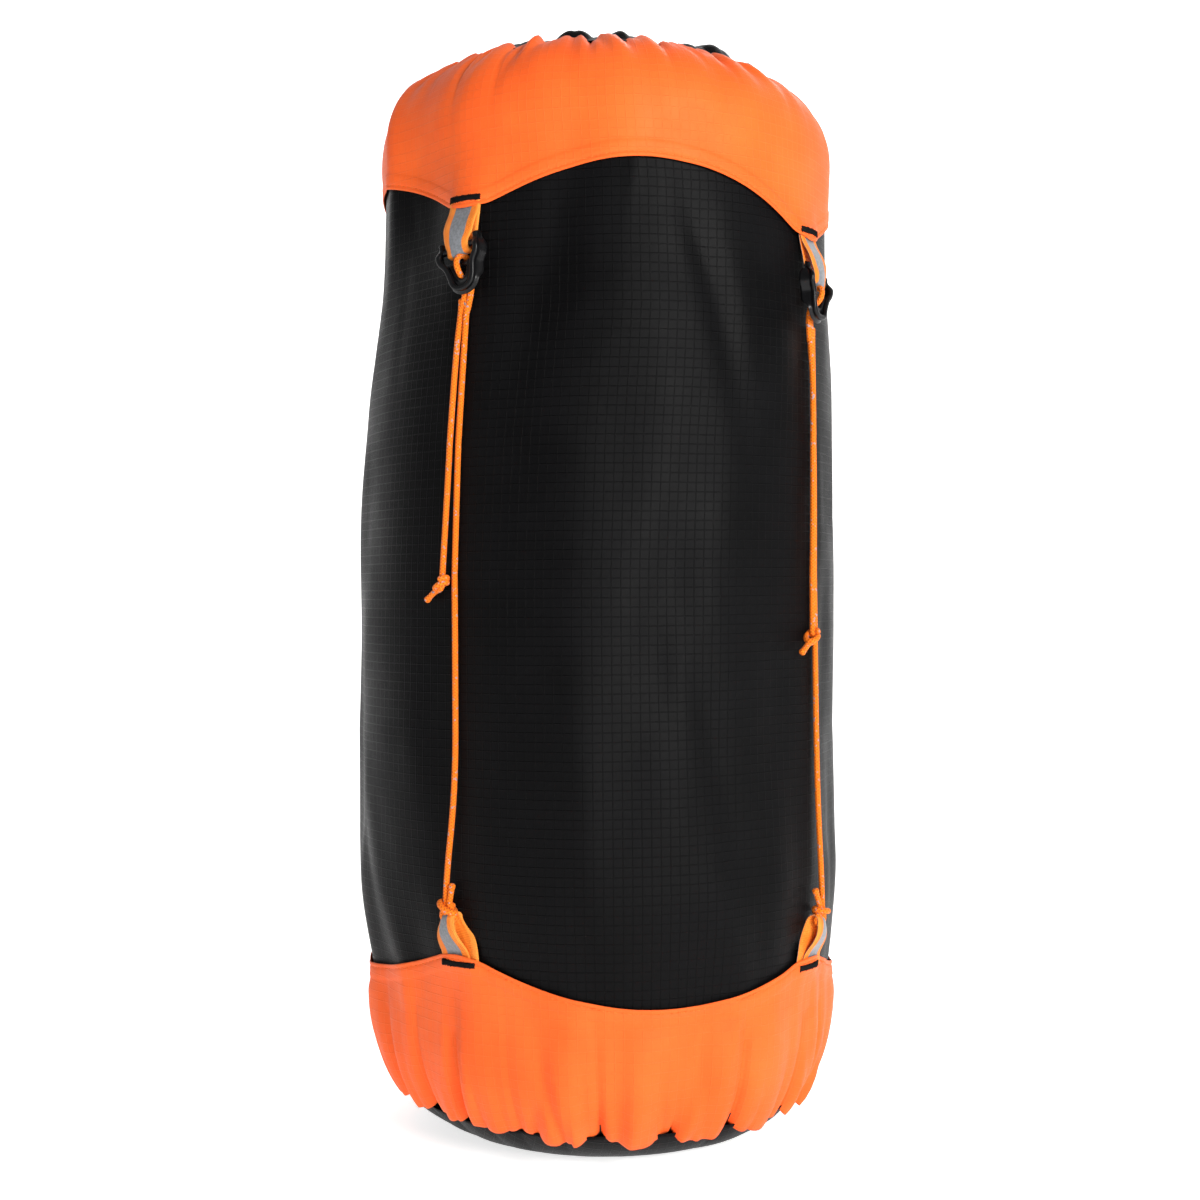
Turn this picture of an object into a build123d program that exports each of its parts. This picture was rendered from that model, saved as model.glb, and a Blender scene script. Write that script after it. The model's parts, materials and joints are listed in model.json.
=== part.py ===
"""Compression sack, packed full and standing on its bottom panel.

Units are millimetres. The origin is the centre of the flat bottom, +Z runs up the sack's axis and
the front of the sack faces -Y. Four tension lines run up the sack, 45 degrees either side of front
and back. Each has a webbing loop and a knot at the bottom, a cord run, and at the top a line lock
that hangs by its bar in a second webbing loop.

The black side fabric crumples as the lines are pulled tight. Here it is two sleeves, the upper one
sliding into the lower, so that the cap with its line locks can move down.
"""

import os
from math import atan2, cos, degrees, pi, radians, sin, sqrt, tan

from build123d import *

# The sack
sack_height = 476.0
fabric = 0.8  # shell thickness of one sewn wall
lower_radius = 108.0  # outside of the bottom band
upper_radius = 106.8  # outside of the top band
slide_gap = 0.4  # radial clearance between the two black sleeves
bottom_flat = 60.0  # radius of the flat that it stands on
bottom_corner = 60.0  # height of the rounding above that flat
top_flat = 50.0
top_corner = 40.0
seam_angle = 62.0  # where band and end panel meet, round the corner ellipse
lower_sleeve_top = 240.0
sleeve_overlap = 25.0

# Scalloped hems of the two orange bands
top_hem = 398.0  # height of the hem at a tension line
top_scallop = 23.0  # how far the hem rises between two lines
bottom_hem = 88.0
bottom_scallop = 16.0
lean = 4.0  # the lines on the left sit this much higher, those on the right this much lower

# Tension lines
line_angles = {"front_left": 225, "front_right": 315, "back_right": 45, "back_left": 135}
tail_lengths = {"front_left": 114, "front_right": 130, "back_right": 118, "back_left": 124}
cord_d = 2.5
strand_side = 1.7  # each strand's distance from the middle of its line
webbing_width = 15.0
webbing = 1.2
eye_radius = 1.6  # inside of a webbing fold
fold_radius = eye_radius + webbing
bar_radius = 1.3
bar_drop = 17.0  # line lock's bar, below the top hem
bar_reach = 110.4  # distance of the bar from the sack's axis
lock_length = 24.0
lock_thick = 2.8
cord_lane = 107.55  # distance of the cord behind a line lock from the sack's axis
throat_drop = 25.0  # where the cord leaves a line lock, below its bar
bottom_fold_rise = 13.5  # fold of a bottom loop, above the bottom hem
bottom_fold_reach = 110.6
knot_radius = 3.6
knot_rise = 9.6  # bottom knot above the fold that its bight goes through
knot_reach = 111.6
running_gap = 0.3

# Gathered mouth, drawcord and cord lock
mouth_height = 458.0
rim_turn = 18.0  # how far the collar carries on round the corner ellipse past its seam
well_radius = 55.0
well_height = 449.5
mouth_radius = 20.0  # ring of the drawcord
channel_radius = 3.2
channel_bore = 1.9
drawcord_side = 1.7  # distance of each end of the drawcord from the middle
exit_turn = 4.0  # radius at which the drawcord turns out of its channel
lock_place = 35.0  # distance of the cord lock from the axis
barrel_radius = 6.0
barrel_length = 20.0
button_radius = 4.4
button_travel = 4.0
flap_height = 446.0
flap_flat = 40.0
flap_radius = 50.0
flap_rise = 2.6

# Trim and contents
end_stub = 11.0  # short end of cord beside a bottom knot
tack_length, tack_width, tack_thick = 14.0, 3.0, 0.6
tape_width, tape = 7.0, 0.9
load_bottom, load_top, load_corner = 5.0, 444.0, 22.0

os.makedirs("parts", exist_ok=True)


def save(builder, node):
    """Label a finished sub-part and write it as its own node."""
    builder.part.label = node
    export_step(builder.part, f"parts/{node}.step")


def side_of(angle):
    """+1 on the sack's left, -1 on its right: the packed sack leans a little."""
    return 1 if cos(radians(angle)) < 0 else -1


def hem_heights(angle):
    """Top and bottom hem heights where the line at this angle crosses them."""
    rise = lean * side_of(angle)
    return top_hem + rise, bottom_hem + rise


def radial_plane(angle):
    """Sketch plane through the axis: x is the distance from the axis, y is the height."""
    a = radians(angle)
    return Plane(origin=(0, 0, 0), x_dir=(cos(a), sin(a), 0), z_dir=(sin(a), -cos(a), 0))


def face_plane(angle, reach):
    """Sketch plane facing outwards at a distance from the axis: x is to its right, y is up."""
    a = radians(angle)
    return Plane(
        origin=(reach * cos(a), reach * sin(a), 0),
        x_dir=(-sin(a), cos(a), 0),
        z_dir=(cos(a), sin(a), 0),
    )


def spot(angle, reach, side, height):
    """Point at a distance from the axis, a distance to the right of the line, and a height."""
    a = radians(angle)
    return Vector(
        reach * cos(a) - side * sin(a), reach * sin(a) + side * cos(a), height
    )


def bend_radii(points):
    """The largest arc that fits each corner of a cord's route."""
    radii = []
    for before, corner, after in zip(points, points[1:], points[2:]):
        turn = radians((corner - before).get_angle(after - corner))
        shorter = min((corner - before).length, (after - corner).length)
        radii.append(0.45 * shorter / tan(turn / 2))
    return radii


def cord_along(name, points):
    """A round cord swept along straight runs joined by tangent arcs."""
    radii = bend_radii(points)
    with BuildPart() as cord:
        with BuildLine() as route:
            centre_line = FilletPolyline(*points, radius=radii)
        with BuildSketch(Plane(origin=centre_line @ 0, z_dir=centre_line % 0)):
            Circle(cord_d / 2)
        sweep(path=centre_line)
    expected = centre_line.length * pi * cord_d**2 / 4
    print(
        name,
        "length", round(centre_line.length, 1),
        "radii", [round(r, 1) for r in radii],
        "volume ratio", round(cord.part.volume / expected, 3),
    )  # fmt: skip
    return cord


# --- Shells of the sack ------------------------------------------------------------------------


def rounded_end(centre_r, centre_z, across, high, start, turn):
    """Profile face of a rounded end: one fabric thick, along part of its corner ellipse."""
    centre = (centre_r, centre_z)
    with BuildLine() as outline:
        outer = EllipticalCenterArc(centre, across, high, start, arc_size=turn)
        inner = EllipticalCenterArc(centre, across - fabric, high - fabric, start, arc_size=turn)
        Line(outer @ 0, inner @ 0)
        Line(outer @ 1, inner @ 1)
    make_face(outline.edges())


def straight_wall(radius, low, high):
    """Profile face of a plain cylindrical wall, one fabric thick."""
    with Locations((radius - fabric / 2, (low + high) / 2)):
        Rectangle(fabric, high - low)


def scalloped(hem, rise):
    """Cut a band's hem as four arcs that meet at the tension lines.

    A positive rise arches up between the lines and keeps what is above the hem. A negative one
    hangs down and keeps what is below it.
    """
    half = lower_radius * sin(radians(45))
    reach = 1.3 * half  # each arc carries on past both its lines, clear of the next arc
    arc_radius = (half**2 + rise**2) / (2 * abs(rise))
    fall = arc_radius - sqrt(arc_radius**2 - reach**2)
    up = 1 if rise > 0 else -1
    for quarter in (0, 90, 180, 270):
        left = hem + lean * side_of(quarter - 45)
        right = hem + lean * side_of(quarter + 45)
        middle = (left + right) / 2 + rise
        slope = (right - left) / (2 * half)
        left_end = (-reach, middle - up * fall - slope * reach)
        right_end = (reach, middle - up * fall + slope * reach)
        with BuildSketch(face_plane(quarter, 0)) as cut:
            with BuildLine():
                ThreePointArc(left_end, (0, middle), right_end)
                Polyline(
                    right_end,
                    (2 * reach, right_end[1]),
                    (2 * reach, hem - up * 90),
                    (-2 * reach, hem - up * 90),
                    (-2 * reach, left_end[1]),
                    left_end,
                )
            make_face()
        extrude(cut.sketch, amount=1.2 * lower_radius, mode=Mode.SUBTRACT)


bottom_across = lower_radius - bottom_flat
top_across = upper_radius - top_flat
top_centre = sack_height - top_corner
end_turn = 90 - seam_angle

with BuildPart() as bottom_panel:
    with BuildSketch(Plane.XZ):
        rounded_end(bottom_flat, bottom_corner, bottom_across, bottom_corner, -90, end_turn)
        with Locations((bottom_flat / 2, fabric / 2)):
            Rectangle(bottom_flat, fabric)
    revolve(axis=Axis.Z)
save(bottom_panel, "bottom_panel")

with BuildPart() as bottom_band:
    with BuildSketch(Plane.XZ):
        rounded_end(bottom_flat, bottom_corner, bottom_across, bottom_corner, -seam_angle, seam_angle)
        straight_wall(lower_radius, bottom_corner, bottom_hem + 40)
    revolve(axis=Axis.Z)
    scalloped(bottom_hem, -bottom_scallop)
save(bottom_band, "bottom_band")

with BuildPart() as top_band:
    with BuildSketch(Plane.XZ):
        rounded_end(top_flat, top_centre, top_across, top_corner, 0, seam_angle)
        straight_wall(upper_radius, top_hem - 40, top_centre)
    revolve(axis=Axis.Z)
    scalloped(top_hem, top_scallop)
save(top_band, "top_band")

# The collar rolls over the rim, drops to a well and rises again to the gathered mouth.
rim_angle = radians(seam_angle + rim_turn)
rim_outer = (top_flat + top_across * cos(rim_angle), top_centre + top_corner * sin(rim_angle))
rim_inner = (
    top_flat + (top_across - fabric) * cos(rim_angle),
    top_centre + (top_corner - fabric) * sin(rim_angle),
)
neck_top = mouth_height - channel_radius - 0.2
with BuildPart() as top_collar:
    with BuildSketch(Plane.XZ):
        rounded_end(top_flat, top_centre, top_across, top_corner, seam_angle, rim_turn)
        with BuildLine():
            Polyline(
                rim_outer,
                (well_radius, well_height + fabric),
                (mouth_radius + 2, well_height + fabric),
                (mouth_radius + 0.6, neck_top),
                (mouth_radius - 0.6, neck_top),
                (mouth_radius + 1, well_height),
                (well_radius + fabric, well_height),
                rim_inner,
                close=True,
            )
        make_face()
    revolve(axis=Axis.Z)
save(top_collar, "top_collar")


def sleeve(outer_radius, low, high, node):
    """Plain tube of side fabric between two heights."""
    with BuildPart() as tube:
        with BuildSketch(Plane.XY.offset(low)):
            Circle(outer_radius)
            Circle(outer_radius - fabric, mode=Mode.SUBTRACT)
        extrude(amount=high - low)
    save(tube, node)


# The lower sleeve is sewn inside the bottom band, and the upper one inside the top band.
lower_sleeve_radius = lower_radius - fabric
upper_sleeve_radius = lower_sleeve_radius - fabric - slide_gap
sleeve(lower_sleeve_radius, bottom_corner, lower_sleeve_top, "body_fabric_lower")
sleeve(upper_sleeve_radius, lower_sleeve_top - sleeve_overlap, top_centre, "body_fabric_upper")


def seam_binding(centre_r, centre_z, across, high, up, node):
    """Ring of tape over a seam's raw edges, lying along the inside of the wall there."""
    a = radians(seam_angle)
    inset = fabric + running_gap
    seam = Vector(centre_r + (across - inset) * cos(a), centre_z + up * (high - inset) * sin(a))
    along = Vector(-across * sin(a), up * high * cos(a)).normalized()
    inward = Vector(-cos(a) / across, -up * sin(a) / high).normalized()
    start = seam - along * (tape_width / 2)
    end = seam + along * (tape_width / 2)
    with BuildPart() as binding:
        with BuildSketch(Plane.XZ):
            with BuildLine():
                Polyline(start, end, end + inward * tape, start + inward * tape, close=True)
            make_face()
        revolve(axis=Axis.Z)
    save(binding, node)


seam_binding(bottom_flat, bottom_corner, bottom_across, bottom_corner, -1, "bottom_seam_binding")
seam_binding(top_flat, top_centre, top_across, top_corner, 1, "top_seam_binding")

# What the sack is packed with: clothing pressed to the sack's shape.
load_radius = upper_sleeve_radius - fabric - 0.6
with BuildPart() as packed_load:
    with BuildSketch(Plane.XZ):
        with BuildLine():
            low = EllipticalCenterArc(
                (bottom_flat, bottom_corner),
                load_radius - bottom_flat,
                bottom_corner - load_bottom,
                -90,
                arc_size=90,
            )
            wall = Line(low @ 1, (load_radius, load_top - load_corner))
            rim = TangentArc(wall @ 1, (load_radius - load_corner, load_top), tangent=wall % 1)
            Polyline(rim @ 1, (0, load_top), (0, load_bottom), low @ 0)
        make_face()
    revolve(axis=Axis.Z)
save(packed_load, "packed_load")

# --- Gathered mouth and cord lock --------------------------------------------------------------

with BuildPart() as drawcord_channel:
    with BuildSketch(Plane.XZ):
        with Locations((mouth_radius, mouth_height)):
            Circle(channel_radius)
            Circle(channel_bore, mode=Mode.SUBTRACT)
    revolve(axis=Axis.Z)
    # Slit where both ends of the drawcord come out, at the back.
    with BuildSketch(Plane.XZ.offset(-mouth_radius)):
        with Locations((0, mouth_height)):
            Rectangle(2 * (drawcord_side + exit_turn + cord_d), 2 * channel_bore)
    extrude(amount=-2 * channel_radius, mode=Mode.SUBTRACT)
save(drawcord_channel, "drawcord_channel")

# The drawcord runs round the mouth, and both its ends turn out through the lock to their knot.
turn_x = drawcord_side + exit_turn
turn_y = sqrt((mouth_radius + exit_turn) ** 2 - turn_x**2)
turn_angle = degrees(atan2(turn_y, turn_x))  # where the ring gives way to the turn
knot_place = lock_place + barrel_radius + knot_radius
with BuildPart() as drawcord:
    with BuildLine(Plane.XY.offset(mouth_height)) as loop:
        start = Line((drawcord_side, knot_place - knot_radius), (drawcord_side, turn_y))
        CenterArc((turn_x, turn_y), exit_turn, 180, turn_angle)
        CenterArc((0, 0), mouth_radius, turn_angle, -180 - 2 * turn_angle)
        CenterArc((-turn_x, turn_y), exit_turn, -turn_angle, turn_angle)
        Line((-drawcord_side, turn_y), (-drawcord_side, knot_place - knot_radius))
    with BuildSketch(Plane(origin=start @ 0, z_dir=start % 0)):
        Circle(cord_d / 2)
    sweep(path=loop.line)
save(drawcord, "drawcord")

with BuildPart() as drawcord_knot:
    with Locations((0, knot_place, mouth_height)):
        Sphere(knot_radius)
save(drawcord_knot, "drawcord_knot")

# The lock lies on the collar with its button pointing to the sack's right.
lock_centre = (0, lock_place, mouth_height)
lock_plane = Plane(origin=lock_centre, x_dir=(0, 1, 0), z_dir=(1, 0, 0))
barrel_end = barrel_length / 2
button_head = 2.6
with BuildPart() as cord_lock_barrel:
    with BuildSketch(lock_plane.offset(-barrel_end)):
        Circle(barrel_radius)
    extrude(amount=barrel_length)
    fillet(cord_lock_barrel.edges().filter_by(GeomType.CIRCLE), 0.8)
    with BuildSketch(lock_plane.offset(-barrel_end + 1.5)):
        Circle(button_radius + 0.3)
    extrude(amount=barrel_length, mode=Mode.SUBTRACT)
    # Cross hole for the two cords.
    with BuildSketch(Plane.XZ.offset(-lock_place)):
        with Locations((0, mouth_height)):
            SlotOverall(2 * drawcord_side + cord_d + 1.0, cord_d + 1.0)
    extrude(amount=2 * barrel_radius, both=True, mode=Mode.SUBTRACT)
save(cord_lock_barrel, "cord_lock_barrel")

spring_length = 3.4
button_start = -barrel_end + 1.5 + spring_length + 0.2
with BuildPart() as cord_lock_button:
    with BuildSketch(lock_plane.offset(button_start)):
        Circle(button_radius)
    extrude(amount=barrel_end + button_travel + button_head - button_start)
    fillet(cord_lock_button.edges().filter_by(GeomType.CIRCLE).group_by(Axis.X)[-1], 0.8)
    # Slot for the cords, longer than the cords need by the button's travel.
    with BuildSketch(Plane.XZ.offset(-lock_place)):
        with Locations((button_travel / 2, mouth_height)):
            SlotOverall(2 * drawcord_side + cord_d + 1.0 + button_travel, cord_d + 1.0)
    extrude(amount=2 * barrel_radius, both=True, mode=Mode.SUBTRACT)
save(cord_lock_button, "cord_lock_button")

with BuildPart() as cord_lock_spring:
    with BuildSketch(lock_plane.offset(-barrel_end + 1.6)):
        Circle(3.4)
        Circle(2.6, mode=Mode.SUBTRACT)
    extrude(amount=spring_length)
save(cord_lock_spring, "cord_lock_spring")

# Flap inside the mouth that keeps the load from showing through the gathers.
with BuildPart() as dust_flap:
    with BuildSketch(Plane.XZ):
        with BuildLine():
            Polyline(
                (0, flap_height),
                (flap_flat, flap_height),
                (flap_radius, flap_height + flap_rise),
                (flap_radius, flap_height + flap_rise + fabric),
                (flap_flat, flap_height + fabric),
                (0, flap_height + fabric),
                close=True,
            )
        make_face()
    revolve(axis=Axis.Z)
save(dust_flap, "dust_flap")

# --- Tension lines -----------------------------------------------------------------------------


def webbing_fold(angle, reach, fold_height, hem_reach, hem_height, node):
    """Webbing folded in two round a bar or a cord, both ends meeting at a hem."""
    up = 1 if hem_height > fold_height else -1
    with BuildPart() as fold:
        with BuildSketch(radial_plane(angle)):
            with Locations((reach, fold_height)):
                Circle(fold_radius)
            with Locations((hem_reach, hem_height - up * 0.5)):
                Rectangle(2 * webbing, 1)
            make_hull()
        extrude(amount=webbing_width / 2, both=True)
        with BuildSketch(radial_plane(angle)):
            with Locations((reach, fold_height)):
                Circle(eye_radius)
            with Locations((hem_reach, hem_height - up * 3)):
                Circle(0.15)
            make_hull()
        extrude(amount=webbing_width / 2, both=True, mode=Mode.SUBTRACT)
    save(fold, node)


def line_lock(angle, bar_height, node):
    """Moulded plate: a round bar for the webbing, a cross bar for the cord and a V notch."""
    shoulder = webbing_width / 2 + 2.9
    top, bottom = bar_height + bar_radius + 0.3, bar_height + bar_radius + 0.3 - lock_length
    cross_top, cross_bottom = bar_height - 9.5, bar_height - 12.5
    with BuildPart() as lock:
        with BuildSketch(face_plane(angle, bar_reach - lock_thick / 2)) as outline:
            with BuildLine():
                Polyline(
                    (-shoulder, top),
                    (shoulder, top),
                    (shoulder, cross_top),
                    (shoulder - 2.5, cross_bottom),
                    (0.55 * shoulder, bottom),
                    (-0.55 * shoulder, bottom),
                    (2.5 - shoulder, cross_bottom),
                    (-shoulder, cross_top),
                    close=True,
                )
            make_face()
            fillet(outline.vertices(), 1.2)
            # Window for the webbing and the cord, between the bar and the cross bar.
            with Locations((0, (top + 1 + cross_top) / 2)):
                Rectangle(webbing_width + 1, top + 1 - cross_top, mode=Mode.SUBTRACT)
            # V notch that bites the cord.
            with BuildLine():
                Polyline(
                    (-5, cross_bottom),
                    (5, cross_bottom),
                    (2.0, bottom + 3.0),
                    (-2.0, bottom + 3.0),
                    close=True,
                )
            make_face(mode=Mode.SUBTRACT)
        extrude(amount=lock_thick)
        with BuildSketch(radial_plane(angle)):
            with Locations((bar_reach, bar_height)):
                Circle(bar_radius)
        extrude(amount=shoulder - 0.6, both=True)
    save(lock, node)


def bottom_knot(angle, knot_height, fold_height, node):
    """Knot above a bottom loop, its bight through the loop and its short end beside the cord."""
    half = webbing_width / 2 + cord_d / 2 + running_gap
    clear = fold_height + fold_radius + cord_d / 2
    corners = [
        spot(angle, bottom_fold_reach, 1.6, knot_height),
        spot(angle, bottom_fold_reach, half, clear),
        spot(angle, bottom_fold_reach, half, fold_height),
        spot(angle, bottom_fold_reach, -half, fold_height),
        spot(angle, bottom_fold_reach, -half, clear),
        spot(angle, bottom_fold_reach, -1.6, knot_height),
    ]
    with BuildPart() as knot:
        with BuildLine():
            bight = FilletPolyline(*corners, radius=1.5)
        with BuildSketch(Plane(origin=bight @ 0, z_dir=bight % 0)):
            Circle(cord_d / 2)
        sweep(path=bight)
        with Locations(spot(angle, knot_reach, 0, knot_height)):
            Sphere(knot_radius)
        with Locations(spot(angle, knot_reach, strand_side + 2.9, knot_height)):
            Cylinder(cord_d / 2, end_stub, align=(Align.CENTER, Align.CENTER, Align.MIN))
    save(knot, node)


def tail_knot(angle, knot_height, node):
    """Overhand knot on a tail, its short end pointing down and to the left."""
    side = -strand_side - knot_radius / 2
    centre = spot(angle, knot_reach, side, knot_height)
    tip = spot(angle, knot_reach, side - 9.0, knot_height - 6.5)
    with BuildPart() as knot:
        with Locations(centre):
            Sphere(knot_radius)
        with BuildSketch(Plane(origin=centre, z_dir=tip - centre)):
            Circle(cord_d / 2)
        extrude(amount=(tip - centre).length)
    save(knot, node)


for line, angle in line_angles.items():
    hem_up, hem_down = hem_heights(angle)
    bar_height = hem_up - bar_drop
    throat = bar_height - throat_drop
    fold_height = hem_down + bottom_fold_rise
    low_knot = fold_height + knot_rise
    high_knot = throat - tail_lengths[line]

    webbing_fold(
        angle, bar_reach, bar_height, upper_radius + 0.8, hem_up - running_gap, f"top_loop_{line}"
    )
    webbing_fold(
        angle,
        bottom_fold_reach,
        fold_height,
        lower_radius + 0.6,
        hem_down + running_gap,
        f"bottom_loop_{line}",
    )
    line_lock(angle, bar_height, f"line_lock_{line}")
    bottom_knot(angle, low_knot, fold_height, f"bottom_knot_{line}")
    tail_knot(angle, high_knot, f"tail_knot_{line}")

    # Taut run, from the bottom knot over the side of the sack to the back of the line lock.
    foot, head = low_knot + knot_radius, throat - running_gap
    run = [
        spot(angle, knot_reach - 0.3, strand_side, foot),
        spot(angle, 110.4, strand_side, foot + 0.18 * (head - foot)),
        spot(angle, 110.0, strand_side, foot + 0.37 * (head - foot)),
        spot(angle, 109.9, strand_side, foot + 0.57 * (head - foot)),
        spot(angle, 109.3, strand_side, foot + 0.80 * (head - foot)),
        spot(angle, cord_lane, strand_side, head),
    ]
    save(cord_along(f"cord_run_{line}", run), f"cord_run_{line}")

    # Bight inside the lock: up behind it, over the cross bar, and back through the V notch.
    front_lane = 2 * bar_reach - cord_lane + 0.1
    over, through = bar_height - 7.4, bar_height - 15.0
    bight = [
        spot(angle, cord_lane, strand_side, throat),
        spot(angle, cord_lane, strand_side, over),
        spot(angle, front_lane, 0.9, over),
        spot(angle, front_lane, -0.9, through),
        spot(angle, cord_lane, -strand_side, through),
        spot(angle, cord_lane, -strand_side, throat),
    ]
    save(cord_along(f"cord_bight_{line}", bight), f"cord_bight_{line}")

    # Tail, hanging beside the run down to its knot.
    top, end = throat - running_gap, high_knot + knot_radius + 0.02
    tail = [
        spot(angle, cord_lane, -strand_side, top),
        spot(angle, 109.9, -strand_side - 0.1, top - 0.16 * (top - end)),
        spot(angle, 111.0, -strand_side - 0.5, top - 0.60 * (top - end)),
        spot(angle, knot_reach, -strand_side - knot_radius / 2, end),
    ]
    save(cord_along(f"cord_tail_{line}", tail), f"cord_tail_{line}")


def bar_tacks(reach, drop, node):
    """One dense bar of stitching across each line's webbing, on the outside of a band."""
    with BuildPart() as tacks:
        for angle in line_angles.values():
            hem_up, hem_down = hem_heights(angle)
            height = hem_up + drop if drop > 0 else hem_down + drop
            with BuildSketch(face_plane(angle, reach + 0.05)):
                with Locations((0, height)):
                    Rectangle(tack_length, tack_width)
            extrude(amount=tack_thick)
    save(tacks, node)


bar_tacks(upper_radius, 4.0, "top_bartacks")
bar_tacks(lower_radius, -4.0, "bottom_bartacks")
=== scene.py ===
"""Looks of the compression sack: cloth, webbing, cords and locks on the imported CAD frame."""

import json
import math

import bmesh
import bpy
import numpy as np
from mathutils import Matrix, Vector


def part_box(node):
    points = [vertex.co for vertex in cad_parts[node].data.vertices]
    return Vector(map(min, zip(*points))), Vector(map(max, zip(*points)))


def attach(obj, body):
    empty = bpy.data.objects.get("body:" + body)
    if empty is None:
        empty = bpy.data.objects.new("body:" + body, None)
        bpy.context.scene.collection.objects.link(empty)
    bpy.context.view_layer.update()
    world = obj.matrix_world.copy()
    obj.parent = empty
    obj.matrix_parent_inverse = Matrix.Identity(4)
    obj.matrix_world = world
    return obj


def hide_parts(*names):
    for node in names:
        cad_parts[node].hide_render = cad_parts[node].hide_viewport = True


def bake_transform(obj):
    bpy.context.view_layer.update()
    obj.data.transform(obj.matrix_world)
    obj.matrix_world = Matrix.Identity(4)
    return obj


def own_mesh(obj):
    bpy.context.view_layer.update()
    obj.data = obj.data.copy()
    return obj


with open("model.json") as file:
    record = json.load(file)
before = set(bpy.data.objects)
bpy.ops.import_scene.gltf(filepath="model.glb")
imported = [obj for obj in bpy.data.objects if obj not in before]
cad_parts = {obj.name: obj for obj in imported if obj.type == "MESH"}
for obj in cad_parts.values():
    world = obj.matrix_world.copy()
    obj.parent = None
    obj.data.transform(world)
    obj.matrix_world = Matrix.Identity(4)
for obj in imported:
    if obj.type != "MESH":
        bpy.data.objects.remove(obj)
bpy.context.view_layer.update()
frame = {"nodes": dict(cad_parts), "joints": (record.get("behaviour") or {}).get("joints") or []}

mm = 0.001

# --- Facts read from the frame -----------------------------------------------------------------

line_angles = {"front_left": 225, "front_right": 315, "back_right": 45, "back_left": 135}
pivots = {
    joint["name"].removeprefix("line_lock_lift_"): Vector(joint["pos_m"])
    for joint in frame["joints"]
    if joint["name"].startswith("line_lock_lift_")
}
hem_gap = 0.3 * mm
top_hems = {line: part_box(f"top_loop_{line}")[1].z + hem_gap for line in line_angles}
bottom_hems = {line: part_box(f"bottom_loop_{line}")[0].z - hem_gap for line in line_angles}
fold_radius = 2.8 * mm
fold_heights = {line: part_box(f"bottom_loop_{line}")[1].z - fold_radius for line in line_angles}
corner_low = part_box("body_fabric_lower")[0].z  # where the bottom rounding begins
corner_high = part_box("body_fabric_upper")[1].z  # where the top rounding begins

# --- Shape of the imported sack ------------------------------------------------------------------

bottom_flat, top_flat = 60 * mm, 50 * mm
bottom_corner_length, top_corner_length = 84 * mm, 76 * mm
top_high = 43.8 * mm
camera_right = 348  # degrees: the sack's silhouette on the right of the main view
scallop_up, scallop_down = 21.5 * mm, 16 * mm
side_radius = 108 * mm
bottom_fullness, top_fullness = 0.93, 0.82  # powers of the rounded ends: less than 1 is squarer
right_drop = 8 * mm  # how much lower the rim is on the camera's right
line_width = 17 * mm  # how far a tension cord draws the cloth in to each side
# Height in m, and radius along a tension line in mm.
line_profile = [(0.06, 103.6), (0.09, 105.6), (0.12, 107.9), (0.20, 108.5), (0.26, 108.4),
                (0.31, 107.4), (0.358, 105.7), (0.40, 104.7)]  # fmt: skip
# Height in m, and how far the sack leans to the camera's right in mm.
sway_profile = [(0.0, -1.5), (0.08, -1.5), (0.13, -3.4), (0.18, -4.2), (0.24, -2.6), (0.31, -0.4),
                (0.38, 2.6), (0.47, 4.2)]  # fmt: skip
# Height in m, and turn about the axis in degrees.
wring_profile = [(0.10, -2.3), (0.25, -2.1), (0.305, -0.9), (0.36, 1.2), (0.41, 1.2), (0.445, 0.0)]
webbing_half, webbing_thick = 7.5 * mm, 0.95 * mm
cord_radius = 1.25 * mm
ripstop_pitch = 3.9 * mm


def smooth(x):
    """Smooth step from 0 to 1."""
    x = np.clip(x, 0, 1)
    return x * x * (3 - 2 * x)


def distances(path):
    """Distance along a path to each of its points."""
    return np.concatenate([[0], np.cumsum(np.linalg.norm(np.diff(path, axis=0), axis=1))])


def polar(radius, theta, height):
    """Points from radius, angle and height."""
    radius, theta, height = np.broadcast_arrays(radius, theta, height)
    return np.stack([radius * np.cos(theta), radius * np.sin(theta), height], axis=-1)


def line_distance(theta):
    """Distance round the sack from the nearest tension line, in metres."""
    return np.radians(np.degrees(theta) % 90 - 45) * side_radius


def angle_from(theta, centre):
    """Angle from a centre, from -pi to pi."""
    return (theta - centre + math.pi) % (2 * math.pi) - math.pi


def soft_folds(theta, height, seed, count, amount, width, length):
    """Long low ridges and hollows scattered over the cloth, running mostly up and down."""
    chance = np.random.default_rng(seed)
    total = np.zeros_like(theta)
    for _ in range(count):
        centre, middle = chance.uniform(0, 2 * math.pi), chance.uniform(0.02, 0.46)
        wide, tall = width * chance.uniform(0.6, 1.5), length * chance.uniform(0.5, 1.5)
        tilt = chance.uniform(-0.35, 0.35)
        size = amount * chance.uniform(-1, 1)
        along = height - middle
        across = angle_from(theta, centre) * side_radius - along * tilt
        total += size * np.exp(-((across / wide) ** 2) - (along / tall) ** 2)
    return total


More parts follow.
